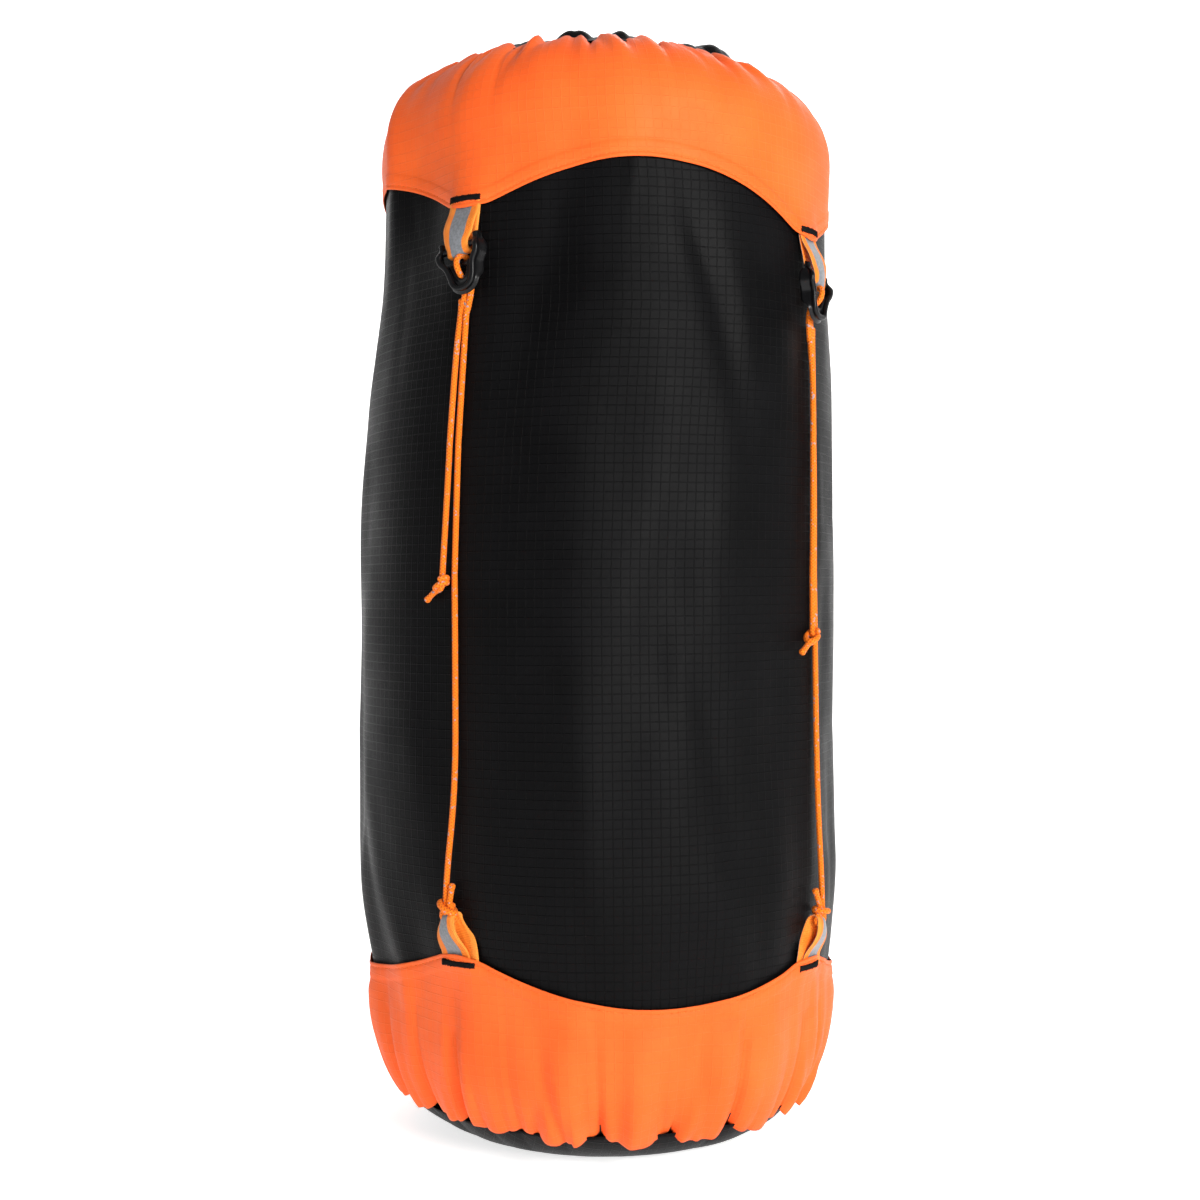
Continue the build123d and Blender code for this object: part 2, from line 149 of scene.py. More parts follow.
def skin_radius(theta, height):
    """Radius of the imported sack's black cloth at an angle and a height."""
    barrel = 104.6 * mm + 3.8 * mm * smooth((0.41 - height) / 0.17)
    barrel = barrel - 5.2 * mm * smooth((0.12 - height) / 0.06)
    barrel = barrel - 2.6 * mm * smooth((height - 0.33) / 0.07)
    heights, radii = np.array(line_profile).T
    at_line = np.interp(height, heights, radii * mm)
    near = np.exp(-((line_distance(theta) / line_width) ** 2)) * smooth((0.435 - height) / 0.035)
    pillow = 1.4 * mm * np.sin(2 * (theta - math.radians(45))) ** 2
    heights, shifts = np.array(sway_profile).T
    sway = np.interp(height, heights, shifts * mm) * np.cos(theta - math.radians(camera_right))
    dents = soft_folds(theta, height, 3, 80, 3.5 * mm, 13 * mm, 60 * mm)
    return (barrel + pillow + sway + dents) * (1 - near) + at_line * near


def on_sack(theta, height, out):
    """Points of the sack's surface. Height runs on round both corners as a length of cloth."""
    straight = np.clip(height, corner_low, corner_high)
    radius = skin_radius(theta, straight)
    below = np.clip((corner_low - height) / bottom_corner_length, 0, 1) * math.pi / 2
    above = np.clip((height - corner_high) / top_corner_length, 0, 1) * math.pi / 2
    turn = below + above
    flat = np.where(below > 0, bottom_flat, top_flat)
    right_side = np.maximum(np.cos(theta - math.radians(camera_right)), 0) ** 1.5
    high = np.where(below > 0, corner_low, top_high - right_drop * right_side)
    across = radius - flat
    normal_r, normal_z = np.cos(turn) / across, np.sin(turn) / high
    size = np.hypot(normal_r, normal_z)
    full = np.where(below > 0, bottom_fullness, top_fullness)
    cos_turn, sin_turn = np.maximum(np.cos(turn), 0) ** full, np.sin(turn) ** full
    r = np.where(turn > 0, flat + across * cos_turn, radius) + out * normal_r / size
    way = np.where(below > 0, -1.0, 1.0)
    return polar(r, theta, straight + way * (high * sin_turn + out * normal_z / size))


def tucks(theta, seed, count):
    """Uneven gathers: 0 at each tuck, rising in a round lobe to 1 between tucks."""
    chance = np.random.default_rng(seed)
    steps = chance.uniform(0.55, 1.5, count)
    edges = np.concatenate([[0], np.cumsum(steps)]) / steps.sum() * 2 * math.pi
    place = theta % (2 * math.pi)
    index = np.clip(np.searchsorted(edges, place, side="right") - 1, 0, count - 1)
    share = (place - edges[index]) / (edges[index + 1] - edges[index])

    def at_tucks(low, high):
        """A value drawn for each tuck, and shared out between them."""
        drawn = chance.uniform(low, high, count + 1)
        drawn[-1] = drawn[0]
        return drawn[index] * (1 - share) + drawn[index + 1] * share

    return np.sin(np.pi * share) ** 0.55, at_tucks(0.35, 1.0), at_tucks(0.5, 1.4)


def hem_height(theta, hems, rise):
    """Height of a scalloped hem: an arc between tension lines, straight over the webbing."""
    eighth = math.radians(45)
    arc = ((side_radius * math.sin(eighth)) ** 2 + rise**2) / (2 * abs(rise))
    names = sorted(line_angles, key=line_angles.get)
    places = np.radians([line_angles[n] for n in names])
    level = np.interp(theta, places, [hems[n] for n in names], period=2 * math.pi)
    from_line = np.abs(line_distance(theta))
    most = eighth * side_radius
    straight = 6.5 * mm
    eased = (from_line - straight * smooth(from_line / (11 * mm))) * most / (most - straight)
    eased = np.clip(eased, 0, most) * smooth(from_line / (9 * mm))
    side = side_radius * np.sin(eighth - eased / side_radius)
    bow = np.sqrt(arc**2 - side**2) - (arc - abs(rise))
    return level + math.copysign(1, rise) * bow


def wrung(points):
    """Points turned a little about the axis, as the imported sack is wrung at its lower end."""
    points = np.array(points, float).reshape(-1, 3)
    heights, turns = np.array(wring_profile).T
    near_sack = smooth((0.3 - np.hypot(points[:, 0], points[:, 1])) / 0.05)
    turn = np.interp(points[:, 2], heights, np.radians(turns)) * near_sack
    x = points[:, 0] * np.cos(turn) - points[:, 1] * np.sin(turn)
    y = points[:, 0] * np.sin(turn) + points[:, 1] * np.cos(turn)
    return np.stack([x, y, points[:, 2]], -1)


# --- Making meshes -----------------------------------------------------------------------------


def mesh_object(name, points, faces, uvs, material):
    """A new mesh object. uvs holds one pair for each corner of each face."""
    if name in frame["nodes"]:
        name = f"visual_{name}"
    mesh = bpy.data.meshes.new(name)
    mesh.from_pydata([tuple(p) for p in wrung(points)], [], faces.tolist())
    layer = mesh.uv_layers.new(name="cloth")
    layer.data.foreach_set("uv", np.asarray(uvs, np.float32).ravel())
    mesh.polygons.foreach_set("use_smooth", [True] * len(mesh.polygons))
    mesh.materials.append(material)
    obj = bpy.data.objects.new(name, mesh)
    bpy.context.scene.collection.objects.link(obj)
    return obj


def quads(rows, cols, closed, uv_cols):
    """Corners of a grid's faces: indices of its points, and of its UVs."""
    last = cols if closed else cols - 1
    row, col = np.meshgrid(np.arange(rows - 1), np.arange(last), indexing="ij")
    both = []
    for wide, right in ((cols, (col + 1) % cols), (uv_cols, col + 1)):
        low, high = row * wide, (row + 1) * wide
        both.append(np.stack([low + col, low + right, high + right, high + col], -1))
    return both[0].reshape(-1, 4), both[1].reshape(-1)


def grid_object(name, points, closed, uv, material):
    """A sheet from (rows, columns, 3) points. closed joins the columns. uv is (rows, cols, 2)."""
    rows, cols = points.shape[:2]
    if closed:
        turn = uv[0, -1, 0] - 2 * uv[0, 0, 0] + uv[0, 1, 0]
        uv = np.concatenate([uv, uv[:, :1] + [turn, 0]], 1)
    faces, corners = quads(rows, cols, closed, uv.shape[1])
    return mesh_object(name, points.reshape(-1, 3), faces, uv.reshape(-1, 2)[corners], material)


def thicken(piece, thickness, offset=-1.0):
    """Give a sheet of cloth its thickness."""
    thick = piece.modifiers.new("thickness", "SOLIDIFY")
    thick.thickness, thick.offset = thickness, offset


def fit(piece, body, slot, *nodes):
    """The piece rides on a body and stands for CAD nodes. Its slot is not used."""
    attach(piece, body)
    if nodes:
        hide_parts(*nodes)
    return piece


def fit_crumpling(piece, slot, *nodes):
    """For a piece between the base and the cap, which would crumple as they close: its transform is
    baked into its mesh, and it stands for CAD nodes. Its slot is not used.
    """
    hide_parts(*nodes)
    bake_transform(piece)
    return piece


# --- Materials ---------------------------------------------------------------------------------


class Nodes:
    """Short helper for building one material's node tree."""

    def __init__(self, name, roughness, **sockets):
        self.material = bpy.data.materials.new(name)
        self.material.use_nodes = True
        self.tree = self.material.node_tree
        self.shader = self.tree.nodes["Principled BSDF"]
        self.set("Roughness", roughness)
        for socket, value in sockets.items():
            self.set(socket.replace("_", " "), value)

    def set(self, socket, value):
        self.shader.inputs[socket].default_value = value

    def node(self, kind, **settings):
        made = self.tree.nodes.new(kind)
        for key, value in settings.items():
            setattr(made, key, value)
        return made

    def feed(self, target, value):
        if hasattr(value, "is_output"):
            self.tree.links.new(value, target)
        else:
            target.default_value = value

    def math(self, operation, *values):
        made = self.node("ShaderNodeMath", operation=operation)
        for target, value in zip(made.inputs, values):
            self.feed(target, value)
        return made.outputs[0]

    def mul(self, first, second):
        return self.math("MULTIPLY", first, second)

    def add(self, first, second):
        return self.math("ADD", first, second)

    def wave(self, value, length):
        """Sine wave of a length in metres."""
        return self.math("SINE", self.mul(value, 2 * math.pi / length))

    def ramp(self, value, low, high, to_low=0.0, to_high=1.0):
        made = self.node("ShaderNodeMapRange", interpolation_type="SMOOTHSTEP")
        for target, given in zip(made.inputs, (value, low, high, to_low, to_high)):
            self.feed(target, given)
        return made.outputs[0]

    def mix(self, share, first, second):
        made = self.node("ShaderNodeMix", data_type="RGBA")
        self.feed(made.inputs["Factor"], share)
        self.feed(made.inputs[6], first)
        self.feed(made.inputs[7], second)
        return made.outputs[2]

    def noise(self, scale, detail=3.0, rough=0.5):
        made = self.node("ShaderNodeTexNoise")
        for socket, value in (("Scale", scale), ("Detail", detail), ("Roughness", rough)):
            self.feed(made.inputs[socket], value)
        place = self.node("ShaderNodeTexCoord").outputs["Object"]
        self.tree.links.new(place, made.inputs["Vector"])
        return made.outputs["Fac"]

    def uv(self):
        split = self.node("ShaderNodeSeparateXYZ")
        place = self.node("ShaderNodeUVMap", uv_map="cloth").outputs[0]
        self.tree.links.new(place, split.inputs[0])
        return split.outputs[0], split.outputs[1]

    def bump(self, height, distance, strength=1.0):
        made = self.node("ShaderNodeBump")
        made.inputs["Distance"].default_value = distance
        made.inputs["Strength"].default_value = strength
        self.tree.links.new(height, made.inputs["Height"])
        self.tree.links.new(made.outputs[0], self.shader.inputs["Normal"])

    def colour(self, value):
        self.feed(self.shader.inputs["Base Color"], value)


def ripstop(name, base, thread, deep, roughness, sheen, thread_share, specular):
    """Thin nylon with a raised square grid of heavier threads."""
    n = Nodes(name, roughness, Sheen_Weight=sheen, Sheen_Roughness=0.4, Specular_IOR_Level=specular)
    u, v = n.uv()

    def threads(along, across, width):
        """Heavier threads at the pitch, floating over and under the weave as they run."""
        place = n.math("FRACT", n.math("DIVIDE", across, ripstop_pitch))
        off = n.math("ABSOLUTE", n.math("SUBTRACT", place, 0.5))
        line = n.ramp(off, width, width * 0.35)
        step = n.math("FRACT", n.math("DIVIDE", along, ripstop_pitch / 3.0))
        return n.mul(line, n.ramp(step, 0.12, 0.3, 0.35, 1.0))

    grid = n.math("MAXIMUM", threads(u, v, 0.075), threads(v, u, 0.06))
    weave = n.mul(n.wave(u, 0.42 * mm), n.wave(v, 0.42 * mm))
    cloud = n.noise(28.0, 4.0)
    crease = n.noise(240.0, 5.0, rough=0.6)
    height = n.add(n.add(n.mul(grid, 0.9), n.mul(weave, 0.10)), n.mul(crease, 0.8))
    n.bump(height, 0.16 * mm, 0.8)
    tone = n.mix(n.ramp(cloud, 0.3, 0.7), base, deep)
    n.colour(n.mix(n.mul(grid, thread_share), tone, thread))
    rough = n.ramp(cloud, 0.25, 0.75, roughness - 0.07, roughness + 0.07)
    n.feed(n.shader.inputs["Roughness"], n.add(rough, n.mul(grid, -0.08)))
    return n.material


def webbing_material(name):
    """Orange webbing with a grey reflective stripe down the middle. U runs across, V along."""
    n = Nodes(name, 0.55, Sheen_Weight=0.05, Specular_IOR_Level=0.25)
    u, v = n.uv()
    from_middle = n.math("ABSOLUTE", u)
    stripe = n.ramp(from_middle, 4.05 * mm, 3.9 * mm)
    rib = n.wave(n.add(v, n.mul(from_middle, 0.6)), 0.75 * mm)
    cross = n.wave(u, 0.7 * mm)
    rows = n.mul(n.add(rib, n.mul(cross, 0.6)), n.math("SUBTRACT", 1.0, stripe))
    edge = n.ramp(from_middle, webbing_half - 0.9 * mm, webbing_half - 0.3 * mm)
    dirt = n.noise(160.0, 4.0)
    orange = n.mix(n.ramp(dirt, 0.3, 0.7), (1.0, 0.30, 0.03, 1), (0.92, 0.22, 0.015, 1))
    # Painted shade: the orange is darkened in the grooves between the webbing's ribs.
    orange = n.mix(n.mul(n.ramp(rib, -1.0, 1.0, 1.0, 0.0), 0.35), orange, (0.72, 0.13, 0.01, 1))
    orange = n.mix(n.mul(edge, 0.4), orange, (1.0, 0.42, 0.07, 1))
    beads = n.ramp(n.noise(900.0, 2.0), 0.35, 0.65)
    n.colour(n.mix(stripe, orange, n.mix(beads, (0.17, 0.18, 0.195, 1), (0.23, 0.24, 0.26, 1))))
    n.feed(n.shader.inputs["Roughness"], n.ramp(stripe, 0.0, 1.0, 0.6, 0.34))
    n.bump(n.add(rows, n.mul(stripe, 1.2)), 0.09 * mm, 0.9)
    return n.material


def braid(name, base, deep, fleck, fleck_share):
    """Braided sheath: U runs round the cord and V along it, both in metres."""
    n = Nodes(name, 0.6, Sheen_Weight=0.04, Specular_IOR_Level=0.2)
    u, v = n.uv()
    around = n.mul(u, 4 / cord_radius)
    along = n.mul(v, 2 * math.pi / (1.35 * mm))
    left = n.math("SINE", n.add(around, along))
    right = n.math("SINE", n.math("SUBTRACT", around, along))
    height = n.math("MAXIMUM", left, right)
    # Painted shade: the braid is darkened towards deep where its strands dip between each other.
    painted_valley_shade = n.ramp(height, -0.2, 0.7, 1.0, 0.0)
    tone = n.mix(n.mul(painted_valley_shade, 0.65), base, deep)
    flecks = n.mul(n.ramp(n.noise(620.0, 1.0), 0.66, 0.70), fleck_share)
    n.colour(n.mix(flecks, tone, fleck))
    n.bump(height, 0.16 * mm, 0.9)
    return n.material


def moulded(name, base, roughness):
    """Moulded nylon with a fine spark-eroded grain, lighter in soft cloudy patches."""
    n = Nodes(name, roughness, Specular_IOR_Level=0.24)
    grain = n.noise(2600.0, 3.0)
    cloud = n.noise(90.0, 3.0)
    light = tuple(min(1.0, c * 1.7 + 0.002) for c in base[:3]) + (1,)
    n.colour(n.mix(n.ramp(cloud, 0.35, 0.75, 0.0, 0.5), base, light))
    rough = n.ramp(cloud, 0.3, 0.7, roughness - 0.06, roughness + 0.08)
    n.feed(n.shader.inputs["Roughness"], rough)
    n.bump(grain, 0.035 * mm, 0.6)
    return n.material


def plain_thread(name, base, light):
    """Twisted sewing thread."""
    n = Nodes(name, 0.7, Specular_IOR_Level=0.1)
    twist = n.noise(1500.0, 3.0)
    # Painted shade and highlight: the thread is darker (base) where its twist is low and lighter
    # (light) where it is raised, as the same noise sets its bumps.
    n.colour(n.mix(n.ramp(twist, 0.35, 0.65), base, light))
    n.bump(twist, 0.08 * mm, 0.8)
    return n.material


def steel(name):
    n = Nodes(name, 0.3, Metallic=1.0)
    n.colour(n.mix(n.ramp(n.noise(700.0), 0.3, 0.7), (0.55, 0.55, 0.57, 1), (0.7, 0.7, 0.72, 1)))
    return n.material


def packed_cloth(name):
    """Folded clothing pressed against the inside of the sack."""
    n = Nodes(name, 0.85, Sheen_Weight=0.3)
    folds = n.noise(35.0, 5.0, rough=0.6)
    # Painted shade: the clothing is darker where its folds are low, as the same noise sets its
    # bumps.
    n.colour(n.mix(n.ramp(folds, 0.35, 0.65), (0.24, 0.25, 0.27, 1), (0.36, 0.37, 0.40, 1)))
    n.bump(folds, 3 * mm, 0.7)
    return n.material


def paper(name, tone):
    """Pale studio paper, lit a little from within so that it stays near white."""
    n = Nodes(name, 0.9)
    low = tuple(c * 0.985 for c in tone[:3]) + (1,)
    n.colour(n.mix(n.noise(60.0, 4.0), tone, low))
    n.set("Emission Color", (1, 1, 1, 1))
    n.set("Emission Strength", 0.72)
    return n.material


orange_cloth = ripstop(
    "orange_ripstop", (1.0, 0.150, 0.026, 1), (1.0, 0.20, 0.045, 1), (0.95, 0.125, 0.020, 1),
    0.5, 0.02, 0.22, 0.12,
)  # fmt: skip
black_cloth = ripstop(
    "black_ripstop",
    (0.0026, 0.0026, 0.0029, 1), (0.0006, 0.0006, 0.0007, 1), (0.0034, 0.0034, 0.0039, 1),
    0.44, 0.0, 0.8, 0.062,
)  # fmt: skip
webbing_cloth = webbing_material("striped_webbing")
orange_braid = braid(
    "orange_braid", (1.0, 0.225, 0.008, 1), (0.62, 0.07, 0.004, 1), (0.30, 0.32, 0.38, 1), 0.8
)
black_braid = braid(
    "black_braid", (0.02, 0.02, 0.022, 1), (0.006, 0.006, 0.007, 1), (0.05, 0.05, 0.05, 1), 0.3
)
black_plastic = moulded("black_nylon", (0.0025, 0.0025, 0.003, 1), 0.27)
black_thread = plain_thread("black_thread", (0.002, 0.002, 0.002, 1), (0.007, 0.007, 0.008, 1))
orange_thread = plain_thread("orange_thread", (0.75, 0.12, 0.02, 1), (0.95, 0.2, 0.04, 1))
binding_cloth = plain_thread("binding_tape", (0.01, 0.01, 0.011, 1), (0.03, 0.03, 0.03, 1))
spring_steel = steel("spring_steel")
clothing = packed_cloth("packed_clothing")


def give(node, material):
    """Put a material on a CAD node that stays in view."""
    slots = frame["nodes"][node].data.materials
    slots.clear()
    slots.append(material)


# --- The sewn shell of the sack ----------------------------------------------------------------

turn_steps = 480
theta_row = np.arange(turn_steps) / turn_steps * 2 * math.pi
seam_high = corner_high + 62 / 90 * top_corner_length
seam_low = corner_low - 48 / 90 * bottom_corner_length


def cloth_uv(theta, height):
    """UVs in metres of cloth: round the sack, and up it."""
    return np.stack([theta * side_radius, height], -1)


def rows_of(low, high, count):
    """Rows of heights between two edges that vary round the sack."""
    share = np.linspace(0, 1, count)[:, None]
    return low[None, :] * (1 - share) + high[None, :] * share


def make_body_fabric():
    """The black side: one tube of cloth from under one band to under the other."""
    low, high = (np.full(turn_steps, z + 2 * mm) for z in (corner_low, corner_high))
    height = rows_of(low, high, 190)
    theta = np.broadcast_to(theta_row, height.shape)
    top_hem = hem_height(theta, top_hems, scallop_up)
    bottom_hem = hem_height(theta, bottom_hems, -scallop_down)
    from_hem = np.minimum(top_hem - height, height - bottom_hem)
    # The cloth is drawn in a little where each band is sewn over it.
    out = -0.5 * mm * np.exp(-np.clip(from_hem, 0, 1) / (9 * mm))
    out = out + soft_folds(theta, height, 8, 90, 0.45 * mm, 5 * mm, 28 * mm)
    points = on_sack(theta, height, out)
    piece = grid_object("body_fabric", points, True, cloth_uv(theta, height), black_cloth)
    return fit_crumpling(piece, "black_fabric", "body_fabric_lower", "body_fabric_upper")


def band_rows(hem, seam):
    """Row heights of a band: fine ones along the folded hem, then even ones to its seam."""
    way = np.sign(seam - hem)
    fold = np.array([0, 0.25, 0.7, 1.3, 1.7, 2.0, 2.3, 2.8, 3.8, 5.2, 6.4, 7.0, 7.6]) * mm
    near = hem[None, :] + way[None, :] * fold[:, None]
    share = np.linspace(0, 1, 44)[1:, None]
    far = near[-1:] * (1 - share) + seam[None, :] * share
    return np.concatenate([near, far], 0)


def hem_relief(from_hem):
    """The hem is two layers thick, with a stitched groove near its edge."""
    fold = 0.42 * mm * (1 - smooth((from_hem - 6.2 * mm) / (1.2 * mm)))
    groove = -0.38 * mm * np.exp(-(((from_hem - 2.0 * mm) / (0.45 * mm)) ** 2))
    rolled = -0.35 * mm * np.exp(-from_hem / (0.25 * mm))
    return fold + groove + rolled


def creases(theta, from_seam, seed, count, amount, run):
    """Narrow sharp creases that start at an end seam and die out up the cloth."""
    chance = np.random.default_rng(seed)
    total = np.zeros_like(theta)
    for _ in range(count):
        centre = chance.uniform(0, 2 * math.pi)
        reach, wide = run * chance.uniform(0.5, 1.5), chance.uniform(1.5, 2.6) * mm
        lean, size = chance.uniform(-0.28, 0.28), amount * chance.uniform(0.4, 1.0)
        across = angle_from(theta, centre) * 104 * mm - lean * from_seam
        wide = wide * (1 + from_seam / (30 * mm))
        fade = np.exp(-((from_seam / reach) ** 2))
        groove = -np.exp(-((across / wide) ** 2))
        bank = 0.75 * np.exp(-(((across - 2.1 * wide) / (1.5 * wide)) ** 2))
        total += size * fade * (groove + bank)
    return total


def webbing_lift(theta, from_hem):
    """A band stands off more where webbing is sewn under its hem."""
    over_webbing = (line_distance(theta) / (10 * mm)) ** 4
    return 2.1 * mm * np.exp(-over_webbing - (from_hem / (11 * mm)) ** 2)


def make_band(
    node, body, hems, rise, seam_base, seam_wave, seed, gathers, depth, reach_length, lay
):
    """One orange end band, gathered along its end seam."""
    lobe, strength, _ = tucks(theta_row, seed, gathers)
    way = 1 if rise > 0 else -1
    seam = seam_base + way * seam_wave * strength * (lobe - 0.6)
    if way < 0:
        # The load sags to the right, which lifts the seam on the left.
        seam = seam + 5 * mm * np.maximum(np.cos(theta_row - math.radians(198)), 0) ** 2
    hem = hem_height(theta_row, hems, rise)
    height = band_rows(hem, seam)
    theta = np.broadcast_to(theta_row, height.shape)
    from_seam, from_hem = np.abs(seam[None, :] - height), np.abs(height - hem[None, :])
    # Creases lean a little as they run away from the seam.
    bent = theta + lay * from_seam * np.sin(3 * theta + seed)
    lobe, strength, reach = tucks(bent, seed, gathers)
    fade = np.exp(-((from_seam / (reach_length * reach)) ** 1.3))
    out = 1.0 * mm + depth * strength * (lobe - 0.72) * fade
    small, power, run = tucks(bent, seed + 1, int(gathers * 2.3))
    fade = np.exp(-from_seam / (0.45 * reach_length * run))
    out = out + 0.35 * depth * power * (small - 0.6) * fade
    away = smooth(from_hem / (14 * mm))
    out = out + away * soft_folds(theta, height, seed + 2, 120, 1.3 * mm, 5.5 * mm, 26 * mm)
    sharp = creases(bent, from_seam, seed + 5, int(gathers * 1.6), 0.3 * depth, 1.2 * reach_length)
    out = out + away * sharp
    # Over the black cloth the band can't sink in; on the rounded end its creases go deeper.
    on_end = smooth((corner_low + 2 * mm - height) / (14 * mm))
    on_end = on_end + smooth((height - corner_high) / (14 * mm))
    out = np.maximum(out, 0.35 * mm - 4.5 * mm * on_end)
    out = out * (0.4 + 0.6 * away) + 0.5 * mm * (1 - away) + hem_relief(from_hem)
    out = out + webbing_lift(theta, from_hem)
    # The end seam is folded under.
    turned = on_sack(theta_row, seam - way * 0.3 * mm, out[-1] - 1.0 * mm)
    inside = on_sack(theta_row, seam - way * 2.2 * mm, out[-1] - 1.3 * mm)
    points = np.concatenate([on_sack(theta, height, out), turned[None], inside[None]], 0)
    theta = np.concatenate([theta, theta[:2]], 0)
    under = [seam[None] + way * 1.3 * mm, seam[None] + way * 3.2 * mm]
    uv = cloth_uv(theta, np.concatenate([height, *under], 0))
    # Rows run upwards, so that the faces look outwards.
    piece = grid_object(node, points[::way], True, uv[::way], orange_cloth)
    thicken(piece, 0.45 * mm)
    return fit(piece, body, "orange_fabric", node)


def make_collar():
    """Black collar: over the rim from the band's seam, and down the well to the mouth."""
    lobe, strength, _ = tucks(theta_row, 21, 40)
    high_lobe, high_strength, _ = tucks(theta_row, 22, 17)
    turns = np.linspace(0, 1, 16)[:, None]
    start, stop = seam_high - 4 * mm, corner_high + 80 / 90 * top_corner_length
    height = start + (stop - start) * turns
    theta = np.broadcast_to(theta_row, (16, turn_steps))
    puff = smooth(turns * 2.2 - 0.35)
    lobes = 1.8 * mm * strength * (lobe - 0.55) + 4.2 * mm * high_strength * (high_lobe - 0.5)
    out = 0.1 * mm + puff * (lobes + 0.1 * mm)
    # It stands over the orange rim at the front and at the camera's right.
    for toward, half_width, amount in ((250, 7, 2.6), (266, 3, 1.8), (302, 12, 6.0), (324, 8, 7.0)):
        away = angle_from(theta_row, math.radians(toward)) / math.radians(half_width)
        out = out + amount * mm * puff * np.exp(-(away**2))
    over = on_sack(theta, height, np.broadcast_to(out, theta.shape))
    rim = over[-1]
    rim_r, rim_z = np.hypot(rim[:, 0], rim[:, 1]), rim[:, 2]
    # Radius, height and depth of the gathers down the well, in mm.
    well = np.array(
        [(57.5, 478.5, 1.2), (55.3, 470, 1.7), (52.5, 461, 2.2), (47.5, 455.2, 2.4), (40, 452, 2.2),
         (32, 450.9, 1.8), (26, 451.2, 1.2), (22.6, 452.6, 0.7), (20.9, 454.6, 0.45)]
    ) * mm  # fmt: skip
    at_radius, at_height, at_depth = well.T
    places = np.arange(1, len(well) + 1)
    rows = [over]
    for place in np.linspace(0, len(well), 48)[1:]:
        share = smooth(place / 2.0)
        r = rim_r * (1 - share) + np.interp(place, places, at_radius) * share
        z = rim_z * (1 - share) + np.interp(place, places, at_height) * share
        gather = np.interp(place, places, at_depth) * (lobe - 0.6) * (0.4 + strength)
        slope = smooth((place - 2) / 3)
        rows.append(polar(r - gather * (1 - slope) * 0.8, theta_row, z + gather * slope)[None])
    points = np.concatenate(rows, 0)
    uv = np.broadcast_arrays(theta_row * 75 * mm, distances(points[:, 0])[:, None])
    piece = grid_object("top_collar", points, True, np.stack(uv, -1), black_cloth)
    thicken(piece, 0.4 * mm)
    return fit(piece, "cap", "black_fabric", "top_collar")


def make_bottom_panel():
    """Black end panel: from under the band's seam round the corner and across the flat bottom."""
    lobe, strength, _ = tucks(theta_row, 31, 24)
    turns = np.linspace(0, 1, 20)[:, None]
    start, stop = seam_low + 3 * mm, corner_low - bottom_corner_length
    height = start + (stop - start) * turns
    theta = np.broadcast_to(theta_row, (20, turn_steps))
    out = 0.2 * mm + (1 - smooth(turns / 0.8)) * 1.3 * mm * strength * (lobe - 0.7)
    round_part = on_sack(theta, height, out)
    off_floor = 0.15 * mm
    round_part[..., 2] = np.maximum(round_part[..., 2], off_floor)
    rows = [round_part]
    for share in np.linspace(1, 0.02, 12)[1:]:
        ring = round_part[-1].copy()
        ring[:, :2] *= share
        ring[:, 2] = off_floor + 1.2 * mm * (1 - share)
        rows.append(ring[None])
    points = np.concatenate(rows, 0)[::-1]
    piece = grid_object("bottom_panel", points, True, points[..., :2], black_cloth)
    thicken(piece, 0.4 * mm)
    return fit(piece, "base", "black_fabric", "bottom_panel")


def make_load():
    """Rolled clothing that fills the sack."""
    low, high = corner_low - bottom_corner_length, corner_high + 0.2 * top_corner_length
    height = rows_of(np.full(turn_steps, low), np.full(turn_steps, high), 90)
    theta = np.broadcast_to(theta_row, height.shape)
    out = -5.5 * mm + soft_folds(theta, height, 41, 120, 1.4 * mm, 16 * mm, 45 * mm)
    side = on_sack(theta, height, out)

    def end_rows(ring, level):
        """Rows from a ring in to the middle of a rounded end."""
        rows = []
        for share in np.linspace(1, 0.02, 10)[1:]:
            row = ring * share
            row[:, 2] = ring[:, 2] * share**2 + level * (1 - share**2)
            rows.append(row)
        return np.array(rows)

    bottom, top = end_rows(side[0], 6 * mm), end_rows(side[-1], 444 * mm)
    points = np.concatenate([bottom[::-1], side, top], 0)
    uv = np.stack(np.broadcast_arrays(theta_row * 100 * mm, points[..., 2]), -1)
    piece = grid_object("packed_load", points, True, uv, clothing)
    return fit_crumpling(piece, "packed_clothing", "packed_load")


# --- Tension lines -----------------------------------------------------------------------------

lock_tilts = {"front_left": 13, "front_right": -14, "back_right": 5, "back_left": -6}


def spot(line, reach, side, height):
    """Point on a tension line. Side is positive to the viewer's right when facing the line."""
    a = math.radians(line_angles[line])
    x, y = reach * math.cos(a) - side * math.sin(a), reach * math.sin(a) + side * math.cos(a)
    return Vector((x, y, height))


def spots(line, rows, side=0.0, height=0.0):
    """Points from rows of (reach, side, height) in mm, moved by a side and a height in metres."""
    return [spot(line, r * mm, side + s * mm, height + h * mm) for r, s, h in rows]


def tilted(line, side, height, amount):
    """Side and height turned about the line lock's bar by a share of the lock's tilt."""
    turn = math.radians(lock_tilts[line]) * amount
    bar = pivots[line].z
    up = height - bar
    new_side = side * math.cos(turn) - up * math.sin(turn)
    return new_side, bar + side * math.sin(turn) + up * math.cos(turn)


def smooth_path(points, order=3, steps=24):
    """Points read along a NURBS spline through the given control points."""
    curve = bpy.data.curves.new("path", "CURVE")
    curve.dimensions, curve.resolution_u = "3D", steps
    spline = curve.splines.new("NURBS")
    spline.points.add(len(points) - 1)
    for target, point in zip(spline.points, points):
        target.co = (*point, 1)
    spline.order_u, spline.use_endpoint_u = order, True
    holder = bpy.data.objects.new("path", curve)
    mesh = bpy.data.meshes.new_from_object(holder)
    read = np.zeros(len(mesh.vertices) * 3)
    mesh.vertices.foreach_get("co", read)
    bpy.data.meshes.remove(mesh)
    bpy.data.objects.remove(holder)
    bpy.data.curves.remove(curve)
    return read.reshape(-1, 3)


